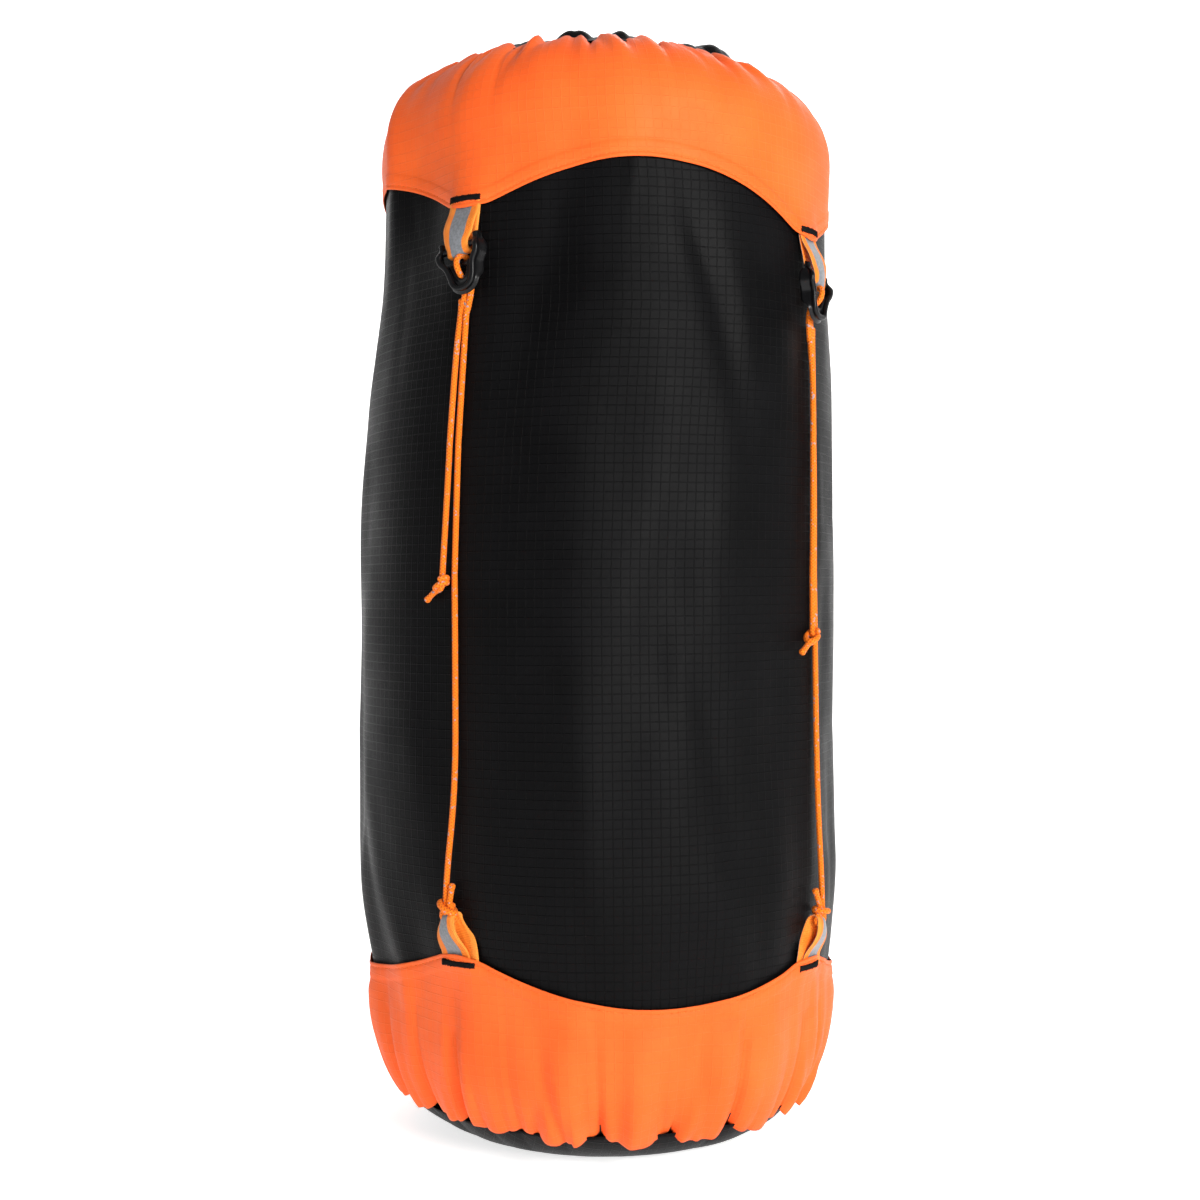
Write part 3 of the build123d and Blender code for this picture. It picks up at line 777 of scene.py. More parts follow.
def even_steps(path, step):
    """The same path with points an even step apart, and each one's distance along it."""
    run = distances(path)
    marks = np.linspace(0, run[-1], max(4, int(run[-1] / step) + 1))
    return np.stack([np.interp(marks, run, path[:, k]) for k in range(3)], -1), marks


def along_frames(path):
    """Tangent and two steady side directions at each point of a path."""
    tangent = np.gradient(path, axis=0)
    tangent /= np.linalg.norm(tangent, axis=1, keepdims=True)
    first = np.cross(tangent[0], [0.3, 0.5, 0.81])
    first /= np.linalg.norm(first)
    firsts = [first]
    for t in tangent[1:]:
        first = firsts[-1] - t * np.dot(firsts[-1], t)
        firsts.append(first / np.linalg.norm(first))
    firsts = np.array(firsts)
    return tangent, firsts, np.cross(tangent, firsts)


def tube_parts(path, radius, step=0.6 * mm, ring=12, frayed=False):
    """Rings of points and UVs of a round cord along a path, closed at both ends."""
    path, marks = even_steps(path, step)
    tangent, first, second = along_frames(path)
    around = (np.arange(ring) / ring * 2 * math.pi)[None, :, None]
    size = np.full(len(path), radius)
    if frayed:
        size = size * (1 + 0.22 * np.exp(-(((marks - marks[-1]) / (1.4 * mm)) ** 2)))
    spokes = first[:, None] * np.cos(around) + second[:, None] * np.sin(around)
    spokes = spokes * size[:, None, None]
    caps = []
    for end, way in ((0, -1), (-1, 1)):
        shape = ((0.8, 0.35), (0.45, 0.6), (0.02, 0.66))
        outwards = way * tangent[end] * radius
        caps.append([path[end] + outwards * far + spokes[end] * shrink for shrink, far in shape])
    rows = np.concatenate([caps[0][::-1], path[:, None] + spokes, caps[1]], 0)
    past = np.array([1, 2, 3]) * 0.3 * mm
    marks = np.concatenate([marks[0] - past[::-1], marks, marks[-1] + past])
    u = np.arange(ring + 1) / ring * 2 * math.pi * radius
    return rows, np.stack(np.broadcast_arrays(u, marks[:, None]), -1)


def join_grids(name, parts, material):
    """One mesh object from several closed grids, each (rows, columns, 3) with its UVs."""
    points, faces, uvs, start = [], [], [], 0
    for rows, uv in parts:
        count, cols = rows.shape[:2]
        corners, uv_corners = quads(count, cols, True, cols + 1)
        faces.append(corners + start)
        uvs.append(uv.reshape(-1, 2)[uv_corners])
        points.append(rows.reshape(-1, 3))
        start += count * cols
    points, faces, uvs = (np.concatenate(each) for each in (points, faces, uvs))
    return mesh_object(name, points, faces, uvs, material)


def close_ends(rows, size):
    """Rings with a shrunken copy of the ring added at each end."""
    middle = rows.mean(1, keepdims=True)
    small = middle + (rows - middle) * size
    return np.concatenate([small[:1], rows, small[-1:]], 0)


def ribbon_parts(centre, across, normal, half, bow, shift):
    """Rings of one ribbon of webbing. bow bends its edges back, and shift moves its stripe."""
    share = np.concatenate([np.linspace(-1, 1, 13), np.linspace(1, -1, 13)])
    side = np.concatenate([np.ones(13), -np.ones(13)])
    thick = webbing_thick / 2 * (1 - np.abs(share) ** 10 * 0.75)
    rows, uv_rows = [], []
    run = distances(centre)
    for i in range(len(centre)):
        lift = side * thick - bow[i] * share**2
        rows.append(centre[i] + np.outer(share * half[i], across[i]) + np.outer(lift, normal[i]))
        # The stripe is woven into the outer face only.
        u = np.where(side > 0, share * webbing_half + shift[i], share * 1.6 * mm + 5.8 * mm)
        uv_rows.append(np.stack([np.append(u, u[0]), np.full(27, run[i])], -1))
    uv_rows = np.array(uv_rows)
    return close_ends(np.array(rows), 0.02), np.concatenate([uv_rows[:1], uv_rows, uv_rows[-1:]], 0)


def webbing_path(line, corners, tilt_of):
    """Centre line, across and normal directions of webbing, from (reach, side, height) corners."""
    path, _ = even_steps(smooth_path(corners, 3, 18), 0.6 * mm)
    world, across = [], []
    for reach, side, height in path:
        ends = [tilted(line, s, height, tilt_of(height)) for s in (side, side + 1 * mm)]
        here, there = (spot(line, reach, *end) for end in ends)
        world.append(here)
        across.append((there - here).normalized())
    world, across = np.array(world), np.array(across)
    tangent = np.gradient(world, axis=0)
    tangent /= np.linalg.norm(tangent, axis=1, keepdims=True)
    normal = np.cross(across, tangent)
    normal /= np.linalg.norm(normal, axis=1, keepdims=True)
    return world, across, normal if np.dot(normal[-1], world[-1] * [1, 1, 0]) > 0 else -normal


def skin_at(line, height):
    """Radius of the black cloth at a tension line."""
    return float(skin_radius(np.array(math.radians(line_angles[line])), np.array(height)))


def make_loop(node, body, path, tight, narrow, narrow_front, bend, turn=0.0, drift=0.0):
    """Loop of webbing. tight, from 0 to 1 along it, is how far it is gathered.

    There it is narrower, its front face is bowed by bend and turned by turn degrees, and its
    stripe drifts to one side.
    """
    centre, across, normal = path
    front = smooth((np.linspace(0, 1, len(centre)) - 0.42) / 0.16)
    half = webbing_half * (1 - narrow_front * tight * front - narrow * tight)
    angle = (np.radians(turn) * tight * (1 - 0.7 * front))[:, None]
    turned = across * np.cos(angle) + normal * np.sin(angle)
    normal = normal * np.cos(angle) - across * np.sin(angle)
    bow, shift = bend * tight * front, drift * tight * front
    ribbon = ribbon_parts(centre, turned, normal, half, bow, shift)
    return fit(join_grids(node, [ribbon], webbing_cloth), body, "webbing", node)


def make_top_loop(line):
    """Webbing from under the top hem, round the line lock's bar and back."""
    hem, bar = top_hems[line], pivots[line].z
    reach, inner = pivots[line].xy.length, skin_at(line, hem)
    shape = (
        (inner, 0.6, hem, 5), (inner, 0.6, hem, 1), (reach, -2.6, bar, 7), (reach, -2.3, bar, 1),
        (reach, -2.3, bar, -3.1), (reach, 0, bar, -3.3), (reach, 2.3, bar, -3.1),
        (reach, 2.1, bar, 2), (reach, 0.5, bar, 9), (inner, 2.0, hem, -1),
        (inner, 1.45, hem, 2), (inner, 1.45, hem, 5),
    )  # fmt: skip
    corners = [(r + out * mm, 0, z + up * mm) for r, out, z, up in shape]
    path = webbing_path(line, corners, lambda z: float(smooth((bar + 6 * mm - z) / (6 * mm))))
    near_bar = smooth((hem - 9 * mm - path[0][:, 2]) / (9 * mm))
    make_loop(f"top_loop_{line}", "cap", path, near_bar, 0.13, 0.15, 0.9 * mm)


bottom_twists = {"front_left": -1, "front_right": 1, "back_right": -0.8, "back_left": 0.9}


def make_bottom_loop(line):
    """Webbing from under the bottom hem, bunched and twisted round the knot's bight, and back."""
    hem, fold = bottom_hems[line], fold_heights[line]
    twist = bottom_twists[line]
    inner, reach, top = skin_at(line, hem), 110.6 * mm, fold + 1.2 * mm
    shape = (
        (inner, 0.6, -2.6, hem, -5), (inner, 0.6, -2.6, hem, -1), (reach, -2.9, -2.2, fold, -6),
        (reach, -2.4, 1.6, top, 0), (reach, -1.4, 2.4, top, 2.4), (reach, 1.0, 2.6, top, 2.4),
        (reach, 1.9, 2.6, top, 0), (reach, 1.2, 3.2, fold, -5), (inner, 2.0, 1.8, hem, 1.5),
        (inner, 1.45, 1.4, hem, -1.5), (inner, 1.45, 1.4, hem, -5),
    )  # fmt: skip
    corners = [(r + out * mm, side * mm * twist, z + up * mm) for r, out, side, z, up in shape]
    path = webbing_path(line, corners, lambda z: 0.0)
    high = smooth((path[0][:, 2] - hem - 1.5 * mm) / (top - hem))
    # The loop turns about its own length as it rises, so its stripe drifts to one side.
    node = f"bottom_loop_{line}"
    make_loop(node, "base", path, high, 0.44, 0, 1.1 * mm, -30 * twist, -twist * 2.4 * mm)


def lock_point(line, side, up, reach):
    """Point of a line lock, up from its bar, with the lock's tilt."""
    s, h = tilted(line, side, pivots[line].z + up, 1.0)
    return spot(line, reach, s, h)


def sweep_section(centres, outs, backs, fronts, section, splay):
    """Rings of a moulded wall: section points are (across, share of depth, extra reach) in mm."""
    rows = []
    for centre, out, back, front in zip(centres, outs, backs, fronts):
        ring = []
        for across, share, extra in section:
            side, up = centre + out * (across + splay * (1 - share))
            ring.append((side, up, back + (front - back) * share + extra))
        rows.append(ring)
    return np.array(rows)


def mirrored(half):
    """An outline from its left half, as points for a spline."""
    return [(side, up, 0) for side, up in half + [(-s, u) for s, u in half[::-1] if s]]


def lock_shape():
    """Rings of a line lock's wall, plate and two bars: (side, up from the bar, reach) in mm."""
    # The rim, from the left shoulder down to the tip and up again.
    rim = [(-8.8, 4.2), (-8.8, 2.4), (-8.9, -0.2), (-9.9, -2.2), (-9.2, -4.9), (-7.1, -6.9),
           (-6.0, -10.0), (-5.4, -13.4), (-4.5, -16.1), (-2.1, -17.5)]  # fmt: skip
    path = even_steps(smooth_path(mirrored(rim), 3, 10), 0.9)[0][:, :2]
    tangent = np.gradient(path, axis=0)
    tangent /= np.linalg.norm(tangent, axis=1, keepdims=True)
    outs = np.stack([-tangent[:, 1], tangent[:, 0]], -1)
    if outs[0, 0] > 0:
        outs = -outs
    up = path[:, 1]
    low, high = smooth((-12.0 - up) / 3.0), smooth((up + 2.0) / 4.5)
    backs, fronts = 107.6 + 3.4 * low + 1.7 * high, 113.9 + 0.3 * low - 3.0 * high
    section = [
        (-0.9, 0, 0.3), (-0.6, 0, 0), (0.6, 0, 0), (0.9, 0, 0.3),
        (0.8, 1, -2.0), (1.25, 1, -1.5), (1.3, 1, -0.5), (0.8, 1, 0.15),
        (-0.6, 1, 0.15), (-1.1, 1, -0.3), (-1.2, 1, -1.2), (-0.9, 1, -1.9),
    ]  # fmt: skip
    pieces = [sweep_section(path, outs, backs, fronts, section, 1.7)]
    # Plate with the V notch, inside the lower half of the rim.
    inner = path[up < -6.9]
    notch = [(-4.2, -6.4), (-3.3, -9.4), (-1.5, -12.9), (0, -13.5)]
    notch = smooth_path(mirrored(notch), 3, 10)
    marks, notch_marks = np.linspace(0, 1, len(inner)), np.linspace(0, 1, len(notch))
    edge = np.stack([np.interp(marks, notch_marks, notch[:, k]) for k in range(2)], -1)
    section = [(0.0, 112.9), (0.4, 112.4), (0.62, 112.5), (0.74, 112.95), (0.9, 112.9),
               (1.0, 112.4), (1.0, 110.4), (0.9, 110.0), (0.0, 110.0)]  # fmt: skip
    across = [inner + (edge - inner) * share for share, _ in section]
    reach = [np.full((len(inner), 1), depth) for _, depth in section]
    pieces.append(np.stack([np.hstack(both) for both in zip(across, reach)], 1))
    # The bar in the webbing and the cross bar under the cord.
    angle = np.arange(14) / 14 * 2 * math.pi
    for height, reach, half, radius in ((0, 110.4, 9.0, 1.3), (-7.2, 110.2, 7.8, 1.4)):
        rows = []
        for side in (-1, -0.98, -0.5, 0, 0.5, 0.98, 1):
            size = radius * (0.9 if abs(side) == 1 else 1)
            round_it = height + size * np.cos(angle), reach + size * np.sin(angle)
            rows.append(np.stack([np.full(14, side * half), *round_it], -1))
        pieces.append(np.array(rows))
    return pieces


def make_line_lock(line):
    """Moulded line lock: shield-shaped rim with deep walls, bars, and a V that bites the cord."""
    node = f"line_lock_{line}"
    parts = []
    for rings in lock_shape():
        rings = close_ends(rings * mm, 0.03)
        world = np.array([[lock_point(line, *p) for p in ring] for ring in rings])
        parts.append((world, np.zeros((rings.shape[0], rings.shape[1] + 1, 2))))
    piece = join_grids(node, parts, black_plastic)
    face_outwards(piece)
    rounded = piece.modifiers.new("moulded", "SUBSURF")
    rounded.levels = rounded.render_levels = 1
    fit(piece, node, "black_plastic", node)


def face_outwards(piece):
    """Faces of each shell turned to face outwards."""
    work = bmesh.new()
    work.from_mesh(piece.data)
    bmesh.ops.recalc_face_normals(work, faces=work.faces)
    work.to_mesh(piece.data)
    work.free()


# --- Cords and knots ---------------------------------------------------------------------------

knot_radius, knot_rise, knot_reach = 3.6 * mm, 9.6 * mm, 111.6 * mm
strand_side, strand_in, cord_lane = 1.7 * mm, 1.35 * mm, 107.55 * mm
tail_lengths = {"front_left": 114, "front_right": 130, "back_right": 118, "back_left": 124}
tail_lengths = {line: length * mm for line, length in tail_lengths.items()}
stub_ways = {"front_left": 1, "front_right": -1, "back_right": 1, "back_left": -1}
throat_drop = 25 * mm  # from a line lock's bar down to where both strands leave it
bend_length = 24 * mm


def cord_piece(name, path):
    """A length of tension cord along a path."""
    return join_grids(name, [tube_parts(path, cord_radius, 0.8 * mm)], orange_braid)


def split_path(path, height):
    """A rising path cut in two at a height."""
    above = int(np.argmax(path[:, 2] > height))
    share = (height - path[above - 1, 2]) / (path[above, 2] - path[above - 1, 2])
    cut = path[above - 1] + (path[above] - path[above - 1]) * share
    return np.vstack([path[:above], cut]), np.vstack([cut, path[above:]])


def bend_with_lock(piece):
    """The piece comes out of a line lock; its transform is baked into its mesh."""
    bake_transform(piece)


def make_run(line, throat, low_knot):
    """Taut run over the side of the sack, going on a little way up behind the lock."""
    foot, head = low_knot + knot_radius, throat - 0.3 * mm
    way, knot_side = stub_ways[line], bottom_twists[line] * 2.6 * mm
    points = spots(line, [(111.3, -0.8 * way, -6)], knot_side, low_knot)
    points += spots(line, [(111.3, -1.2 * way, 0)], knot_side, foot)
    for reach, share in ((110.4, 0.18), (110.0, 0.37), (109.9, 0.57), (109.3, 0.80)):
        points.append(spot(line, reach * mm, strand_side, foot + share * (head - foot)))
    points += [spot(line, cord_lane, strand_in, z) for z in (head, head + 4 * mm)]
    # Its top is a piece of its own.
    low_path, high_path = split_path(smooth_path(points, 3, 16), throat - bend_length)
    node = f"cord_run_{line}"
    run = fit_crumpling(cord_piece(node, low_path), "orange_cord", node)
    top = cord_piece(f"cord_run_top_{line}", high_path)
    bend_with_lock(top)
    return run, top, wrung(low_path)


def make_bight(line, throat):
    """Bight: up behind the lock's cross bar, over it, and back through the V notch."""
    over, through = (pivots[line].z - down * mm for down in (5.2, 11.0))
    shape = (
        (107.6, 1.35, throat, -2), (107.8, 1.35, throat, 8), (107.9, 1.5, over, -3),
        (108.4, 1.5, over, 0.9), (110.8, 0.8, over, 1.7), (113.4, -0.2, over, 0.2),
        (113.9, -0.8, through, 3), (113.0, -0.8, through, 0.2), (110.6, -1.2, through, -2.0),
        (108.6, -1.35, through, -4.5), (107.7, -1.35, throat, 3), (107.6, -1.35, throat, -2),
    )  # fmt: skip
    points = []
    for reach, side, level, up in shape:
        height = level + up * mm
        share = float(smooth((height - throat) / (9 * mm)))
        points.append(spot(line, reach * mm, *tilted(line, side * mm, height, share)))
    node = f"cord_bight_{line}"
    piece = cord_piece(node, smooth_path(points, 3, 16))
    return fit(piece, f"line_lock_{line}", "orange_cord", node)


def make_tail(line, throat):
    """Tail, hanging beside the run down to its knot."""
    high_knot = throat - tail_lengths[line]
    top, end = throat - 0.3 * mm, high_knot + 3.62 * mm
    drop, side_end = top - end, -strand_side - knot_radius / 2
    points = [
        spot(line, cord_lane, -strand_in, top + 4 * mm),
        spot(line, cord_lane, -strand_in, top),
        spot(line, 109.9 * mm, -1.3 * mm, top - 0.16 * drop),
        spot(line, 111.0 * mm, -strand_side - 0.1 * mm, top - 0.60 * drop),
        spot(line, knot_reach, side_end, end),
        spot(line, knot_reach, side_end, high_knot + 1.0 * mm),
    ]
    path = smooth_path(points, 3, 16)
    node = f"cord_tail_{line}"
    tail = cord_piece(node, path)
    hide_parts(node)
    bend_with_lock(tail)
    return tail, make_tail_knot(line, side_end, high_knot), wrung(path)


def coil(line, reach, centre_side, centre_height, half_side, half_out, tilt, turns, pitch, start):
    """Points of a wrap round two strands, tilted so that one side hangs lower. Sizes are in mm."""
    rows = []
    count = int(turns * 14)
    for i in range(count + 1):
        angle = start + i / 14 * 2 * math.pi
        side = half_side * math.cos(angle)
        height = math.tan(math.radians(tilt)) * side + (i / count - 0.5) * pitch
        rows.append((reach + half_out * math.sin(angle), side, height))
    return spots(line, rows, centre_side, centre_height)


def make_bottom_knot(line):
    """Knot above a bottom loop: its bight through the loop, a wrap, and a short frayed end."""
    middle, way, fold = bottom_twists[line] * 2.6 * mm, stub_ways[line], fold_heights[line]
    tilt = -26 if way > 0 else -8
    wrap = spots(line, [(110.2, -1.5, 7.7)], middle, fold)
    wrap += coil(line, 111.3, middle, fold + 6.2 * mm, 3.5, 2.7, tilt, 1.2, 1.3, -2.2)
    strand = [(111.2, -1.0, 8.2), (111.0, -2.4, 4.7), (110.6, -3.6, 2.4), (110.6, -2.6, 0.8)]
    bight = strand + [(reach, -side, height) for reach, side, height in strand[::-1]]
    lean, end_lean = (1.9, 2.6) if way > 0 else (2.8, 5.0)
    stub = [(111.0, 0.6 * way, 4.7), (111.6, 1.2 * way, 7.2)]
    stub += [(111.6, lean * way, 10.7), (111.2, end_lean * way, 15.7)]
    parts = [
        tube_parts(smooth_path(wrap), cord_radius * 1.06),
        tube_parts(smooth_path(spots(line, bight, middle, fold)), cord_radius, 0.8 * mm),
        tube_parts(smooth_path(spots(line, stub, middle, fold)), cord_radius, frayed=True),
    ]
    node = f"bottom_knot_{line}"
    return fit(join_grids(node, parts, orange_braid), "base", "orange_cord", node)


def make_tail_knot(line, side, high_knot):
    """Overhand knot on a tail, with its end sticking out down and to the left."""
    wrap = spots(line, [(111.6, 0, 2.0)], side, high_knot)
    middle, level = side - 0.6 * mm, high_knot + 0.2 * mm
    wrap += coil(line, 111.6, middle, level, 2.7, 2.5, 34, 1.3, 2.6, -0.6)
    end = [(111.2, 0.2, 2.2), (113.1, 1.2, -0.2), (112.4, -0.6, -2.2), (111.6, -3.6, -2.6),
           (111.6, -6.4, -4.6), (111.2, -8.8, -6.4)]  # fmt: skip
    parts = [
        tube_parts(smooth_path(wrap), cord_radius),
        tube_parts(smooth_path(spots(line, end, side, high_knot)), cord_radius, frayed=True),
    ]
    node = f"tail_knot_{line}"
    return fit(join_grids(node, parts, orange_braid), "cap", "orange_cord", node)


# --- Stitching ---------------------------------------------------------------------------------


def band_surface(theta, height, lift):
    """Points just off a band near its hem, at a bar-tack."""
    return on_sack(theta, height, 1.15 * mm + webbing_lift(theta, 4 * mm) + lift)


def make_bartacks(name, hems, drop, body, half_long):
    """Dense zigzag stitching across each line's webbing, on the outside of a band."""
    parts = []
    count, band_radius = 68, 107 * mm
    share = np.linspace(-1, 1, count)
    ways = np.where(np.arange(count) % 2 == 0, -1.0, 1.0)
    for line, degrees in line_angles.items():
        zig = ways * np.random.default_rng(degrees).uniform(0.86, 1.08, count)
        theta = math.radians(degrees) + share * half_long / band_radius
        level = np.full(count, hems[line] + drop)
        zigzag = band_surface(theta, level + zig * 1.25 * mm, 0.35 * mm)
        parts.append(tube_parts(zigzag, 0.33 * mm, 0.5 * mm, 6))
        # Padding stitches run along under the zigzag.
        for off in (-0.8, 0, 0.8):
            padding = band_surface(theta, level + off * mm, 0.08 * mm)
            parts.append(tube_parts(padding, 0.45 * mm, 0.8 * mm, 6))
    fit(join_grids(name, parts, black_thread), body, "thread", name)


def make_topstitch(name, hems, rise, body, seed):
    """A row of stitches round a band, set in from its folded hem."""
    inset, length, pitch, radius = 2.0 * mm, 2.3 * mm, 2.9 * mm, 0.2 * mm
    way = 1 if rise > 0 else -1
    fine = np.linspace(0, 2 * math.pi, 2001)
    edge = hem_height(fine, hems, rise) + way * inset
    run = distances(on_sack(fine, edge, np.zeros_like(fine)))
    count = int(run[-1] / pitch)
    chance = np.random.default_rng(seed)
    lift = np.array([-0.25, 0.12, 0.12, -0.25]) * mm
    parts = []
    for i in range(count):
        start = i * run[-1] / count + chance.uniform(-0.06, 0.06) * pitch
        theta = np.interp(start + np.linspace(0, 1, 4) * length, run, fine)
        height = np.interp(theta, fine, edge) + chance.uniform(-0.06, 0.06) * mm
        path = on_sack(theta, height, 0.95 * mm + lift + webbing_lift(theta, inset))
        parts.append(tube_parts(path, radius, length / 3.2, 6))
    fit(join_grids(name, parts, orange_thread), body, "thread")


# --- Gathered mouth ----------------------------------------------------------------------------


mouth_radius = 20 * mm
mouth_height = sum(corner.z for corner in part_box("drawcord_channel")) / 2


def make_channel():
    """The gathered mouth's channel, open at the back where the drawcord comes out of it."""
    count = 15
    theta = np.broadcast_to(theta_row, (count, turn_steps))
    round_it = np.linspace(0, 2 * math.pi, count)[:, None]
    lobe, strength, _ = tucks(theta_row, 51, 34)
    size = 3.0 * mm + 0.75 * mm * (lobe - 0.6) * (0.5 + strength)
    across, up = size * np.cos(round_it), size * np.sin(round_it)
    points = polar(mouth_radius + across, theta, mouth_height + up)
    keep = np.abs(angle_from(theta_row, math.pi / 2)) > math.radians(17)
    start = int(np.argmax(keep & ~np.roll(keep, 1)))
    order = np.roll(np.arange(turn_steps), -start)
    order = order[keep[order]]
    uv = np.stack(np.broadcast_arrays(theta_row * mouth_radius, round_it * 3 * mm), -1)
    piece = grid_object("drawcord_channel", points[:, order], False, uv[:, order], black_cloth)
    thicken(piece, 0.5 * mm)
    fit(piece, "cap", "black_fabric", "drawcord_channel")


def make_drawcord():
    """Drawcord round the mouth, with both ends out through the cord lock to their knot."""
    low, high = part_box("drawcord_knot")
    knot_y = (low.y + high.y) / 2
    way_out = [(1.7 * mm, y, mouth_height) for y in (knot_y - 2 * mm, 34 * mm, 24.5 * mm)]
    arc = np.radians(np.linspace(78, 102 - 360, 40))
    ring = [tuple(point) for point in polar(mouth_radius, arc, mouth_height)]
    steps = way_out + ring + [(-x, y, z) for x, y, z in way_out[::-1]]
    cord = [tube_parts(smooth_path(steps), cord_radius, 0.8 * mm)]
    fit(join_grids("drawcord", cord, black_braid), "cap", "black_cord", "drawcord")

    wrap = []
    for i in range(22):
        a = i / 14 * 2 * math.pi
        y = knot_y + (i / 21 - 0.5) * 2.6 * mm + 0.8 * mm * math.cos(a)
        wrap.append((2.6 * mm * math.cos(a), y, mouth_height + 2.3 * mm * math.sin(a)))
    parts = [tube_parts(smooth_path(wrap), cord_radius)]
    for way in (-1, 1):
        end = [(1.2, -2, 0), (1.3, 2, 0.4), (2.1, 4.4, -0.6)]
        end = [(way * x * mm, knot_y + y * mm, mouth_height + z * mm) for x, y, z in end]
        parts.append(tube_parts(smooth_path(end), cord_radius, frayed=True))
    knot = join_grids("drawcord_knot", parts, black_braid)
    fit(knot, "cap", "black_cord", "drawcord_knot")


def make_flap():
    """Rippled flap inside the mouth."""
    low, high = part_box("dust_flap")
    turns = np.linspace(1, 0.02, 24)[:, None]
    ripple = 0.5 * mm * np.sin(5 * theta_row) * turns**2
    ripple = ripple + 0.3 * mm * np.sin(11 * theta_row + 2) * turns
    radius = (high.x - low.x) / 2 * turns * 0.995
    points = polar(radius, theta_row, (low.z + high.z) / 2 + ripple)
    piece = grid_object("dust_flap", points, True, points[..., :2], black_cloth)
    thicken(piece, 0.4 * mm, 0.0)
    fit(piece, "cap", "black_fabric", "dust_flap")


def make_spring():
    """Coil spring behind the cord lock's button. It is made at one length, though it shortens as
    the button goes in.
    """
    low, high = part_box("cord_lock_spring")
    middle_y, middle_z = (low.y + high.y) / 2, (low.z + high.z) / 2
    wire, turns, steps = 0.3 * mm, 5, 16
    radius, length = (high.z - low.z) / 2 - wire, high.x - low.x
    points = []
    for i in range(turns * steps + 1):
        share, angle = i / (turns * steps), i / steps * 2 * math.pi
        # The end turns lie closer together.
        along = low.x + wire + (length - 2 * wire) * (smooth(share) * 0.3 + share * 0.7)
        y, z = middle_y + radius * math.cos(angle), middle_z + radius * math.sin(angle)
        points.append((along, y, z))
    parts = [tube_parts(smooth_path(points), wire, 0.5 * mm, 8)]
    spring = join_grids("cord_lock_spring", parts, spring_steel)
    fit(spring, "cap", "spring_steel", "cord_lock_spring")
    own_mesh(spring)


def make_binding(node, body, cloth_low, cloth_high):
    """Seam tape inside an end seam."""
    height = rows_of(np.full(turn_steps, cloth_low), np.full(turn_steps, cloth_high), 5)
    theta = np.broadcast_to(theta_row, height.shape)
    points = on_sack(theta, height, np.full(height.shape, -2.6 * mm))
    tape = grid_object(node, points, True, cloth_uv(theta, height), binding_cloth)
    thicken(tape, 0.5 * mm, 0.0)
    fit(tape, body, "binding_tape", node)


# --- Build -------------------------------------------------------------------------------------

body_fabric = make_body_fabric()
bottom_band = make_band(
    "bottom_band", "base", bottom_hems, -scallop_down, seam_low, 5.2 * mm,
    7, 24, 8.5 * mm, 46 * mm, 0.25,
)  # fmt: skip
top_band = make_band(
    "top_band", "cap", top_hems, scallop_up, seam_high, 3.4 * mm, 9, 38, 5.0 * mm, 22 * mm, 0.15
)
top_collar = make_collar()
bottom_panel = make_bottom_panel()
packed_load = make_load()
make_channel()
make_drawcord()
make_flap()
make_binding("bottom_seam_binding", "base", seam_low + 2.5 * mm, seam_low + 7.5 * mm)
make_binding("top_seam_binding", "cap", seam_high - 7.5 * mm, seam_high - 2.5 * mm)

for line in line_angles:
    make_top_loop(line)
    make_bottom_loop(line)
    make_line_lock(line)
    throat = pivots[line].z - throat_drop
    run, run_top, run_path = make_run(line, throat, fold_heights[line] + knot_rise)
    bight = make_bight(line, throat)
    tail, tail_knot, tail_path = make_tail(line, throat)
    bottom_knot = make_bottom_knot(line)

make_bartacks("top_bartacks", top_hems, 4.0 * mm, "cap", 7.6 * mm)
make_bartacks("bottom_bartacks", bottom_hems, -4.0 * mm, "base", 8.6 * mm)
make_topstitch("top_hem_stitches", top_hems, scallop_up, "cap", 61)
make_topstitch("bottom_hem_stitches", bottom_hems, -scallop_down, "base", 62)

give("cord_lock_barrel", black_plastic)
give("cord_lock_button", black_plastic)
make_spring()

# --- Stage, light and camera -------------------------------------------------------------------


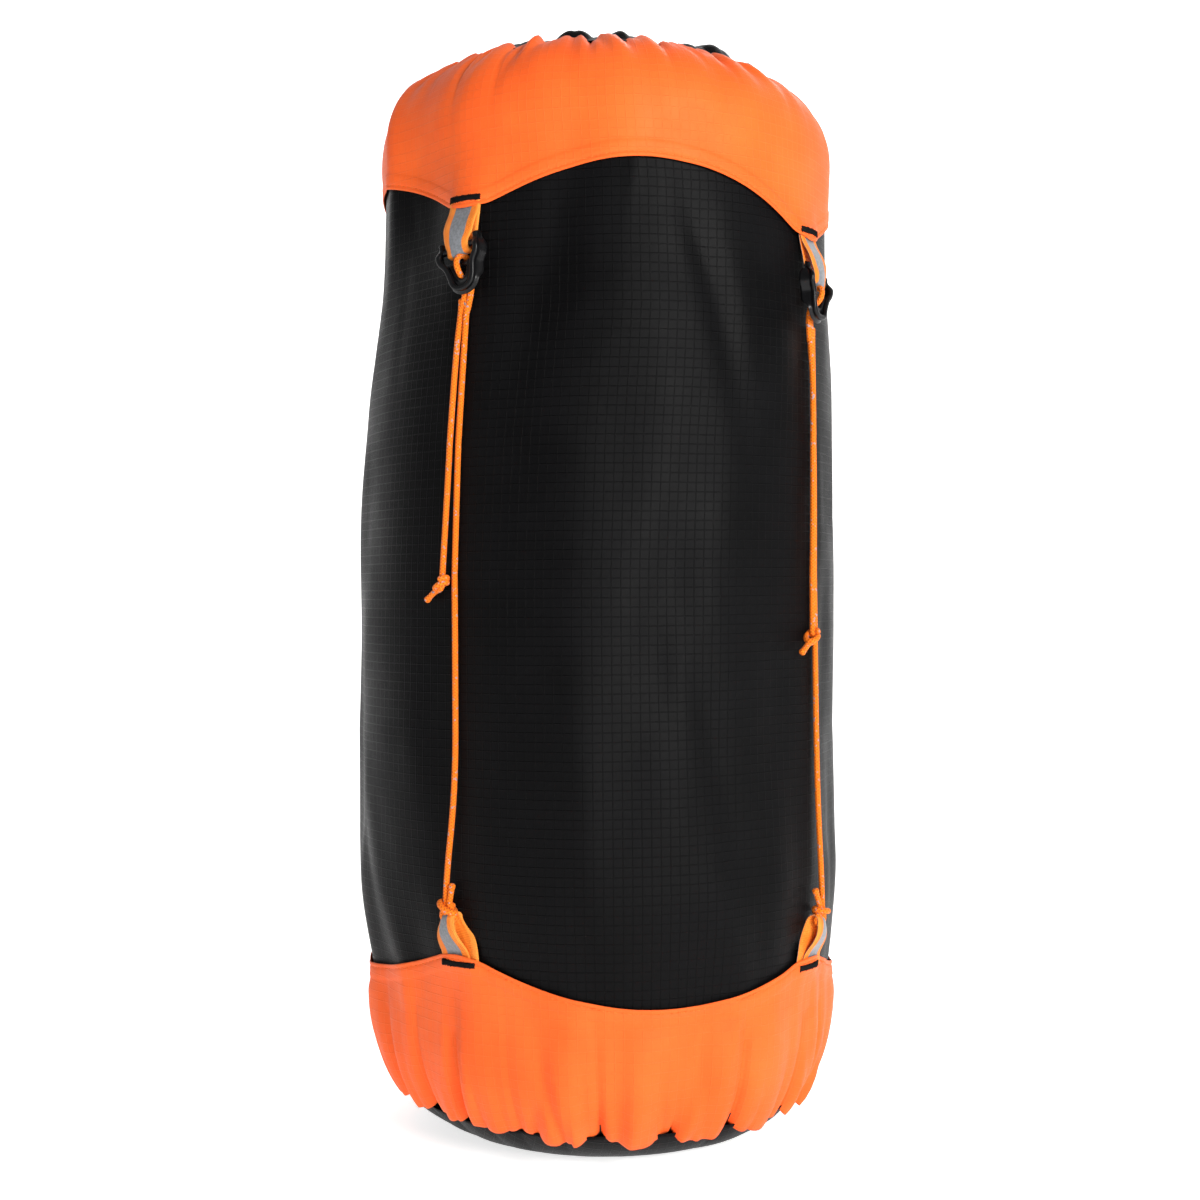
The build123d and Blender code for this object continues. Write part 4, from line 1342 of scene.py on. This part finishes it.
def make_backdrop():
    """Pale paper floor that curves up behind the sack, square to the camera."""
    profile = [(-3.2, 0.0), (1.1, 0.0)]
    for a in np.linspace(0.1, math.pi / 2, 14):
        profile.append((1.1 + 0.9 * math.sin(a), 0.9 - 0.9 * math.cos(a)))
    profile.append((2.0, 3.6))
    rows = np.array([[(x, y, z) for x in np.linspace(-3.4, 3.4, 24)] for y, z in profile])
    turn = math.radians(-13)
    x, y = rows[..., 0].copy(), rows[..., 1].copy()
    rows[..., 0] = x * math.cos(turn) - y * math.sin(turn)
    rows[..., 1] = x * math.sin(turn) + y * math.cos(turn)
    sheet = paper("pale_paper", (0.93, 0.93, 0.93, 1))
    grid_object("floor", rows, False, rows[..., :2], sheet)


def make_light(name, place, aim, size, power, tint):
    light = bpy.data.lights.new(name, "AREA")
    light.shape, light.size, light.energy, light.color = "DISK", size, power, tint
    holder = bpy.data.objects.new(name, light)
    holder.location = place
    holder.rotation_euler = (Vector(aim) - Vector(place)).to_track_quat("-Z", "Y").to_euler()
    bpy.context.scene.collection.objects.link(holder)


make_backdrop()
make_light("key", (0.7, -1.6, 0.75), (0, 0, 0.24), 0.7, 29, (1.0, 0.985, 0.96))
make_light("front", (0.1, -2.0, 0.3), (0, 0, 0.2), 0.8, 6, (1.0, 0.99, 0.98))
make_light("left", (-1.8, -0.2, 0.9), (0, 0, 0.24), 1.2, 1.1, (0.96, 0.98, 1.0))
make_light("back", (0.8, 1.6, 1.5), (0, 0, 0.3), 1.0, 8, (1.0, 1.0, 1.0))

world = bpy.data.worlds.new("studio")
world.use_nodes = True
world.node_tree.nodes["Background"].inputs["Color"].default_value = (1.0, 1.0, 1.0, 1)
world.node_tree.nodes["Background"].inputs["Strength"].default_value = 0.2
bpy.context.scene.world = world
bpy.context.scene.view_settings.view_transform = "Standard"

camera_turn, camera_away, camera_high = math.radians(-11.8), 0.78, 0.243
lens = bpy.data.cameras.new("camera")
lens.lens, lens.sensor_width = 49.85, 36
lens.shift_x, lens.shift_y = -4.5 / 1200, -10 / 1200
lens.clip_start = 0.02
camera = bpy.data.objects.new("camera", lens)
camera_side, camera_back = math.sin(camera_turn) * camera_away, math.cos(camera_turn) * camera_away
camera.location = (camera_side, -camera_back, camera_high)
camera.rotation_mode = "XYZ"
camera.rotation_euler = (math.radians(90), math.radians(0.6), camera_turn)
bpy.context.scene.collection.objects.link(camera)
bpy.context.scene.camera = camera
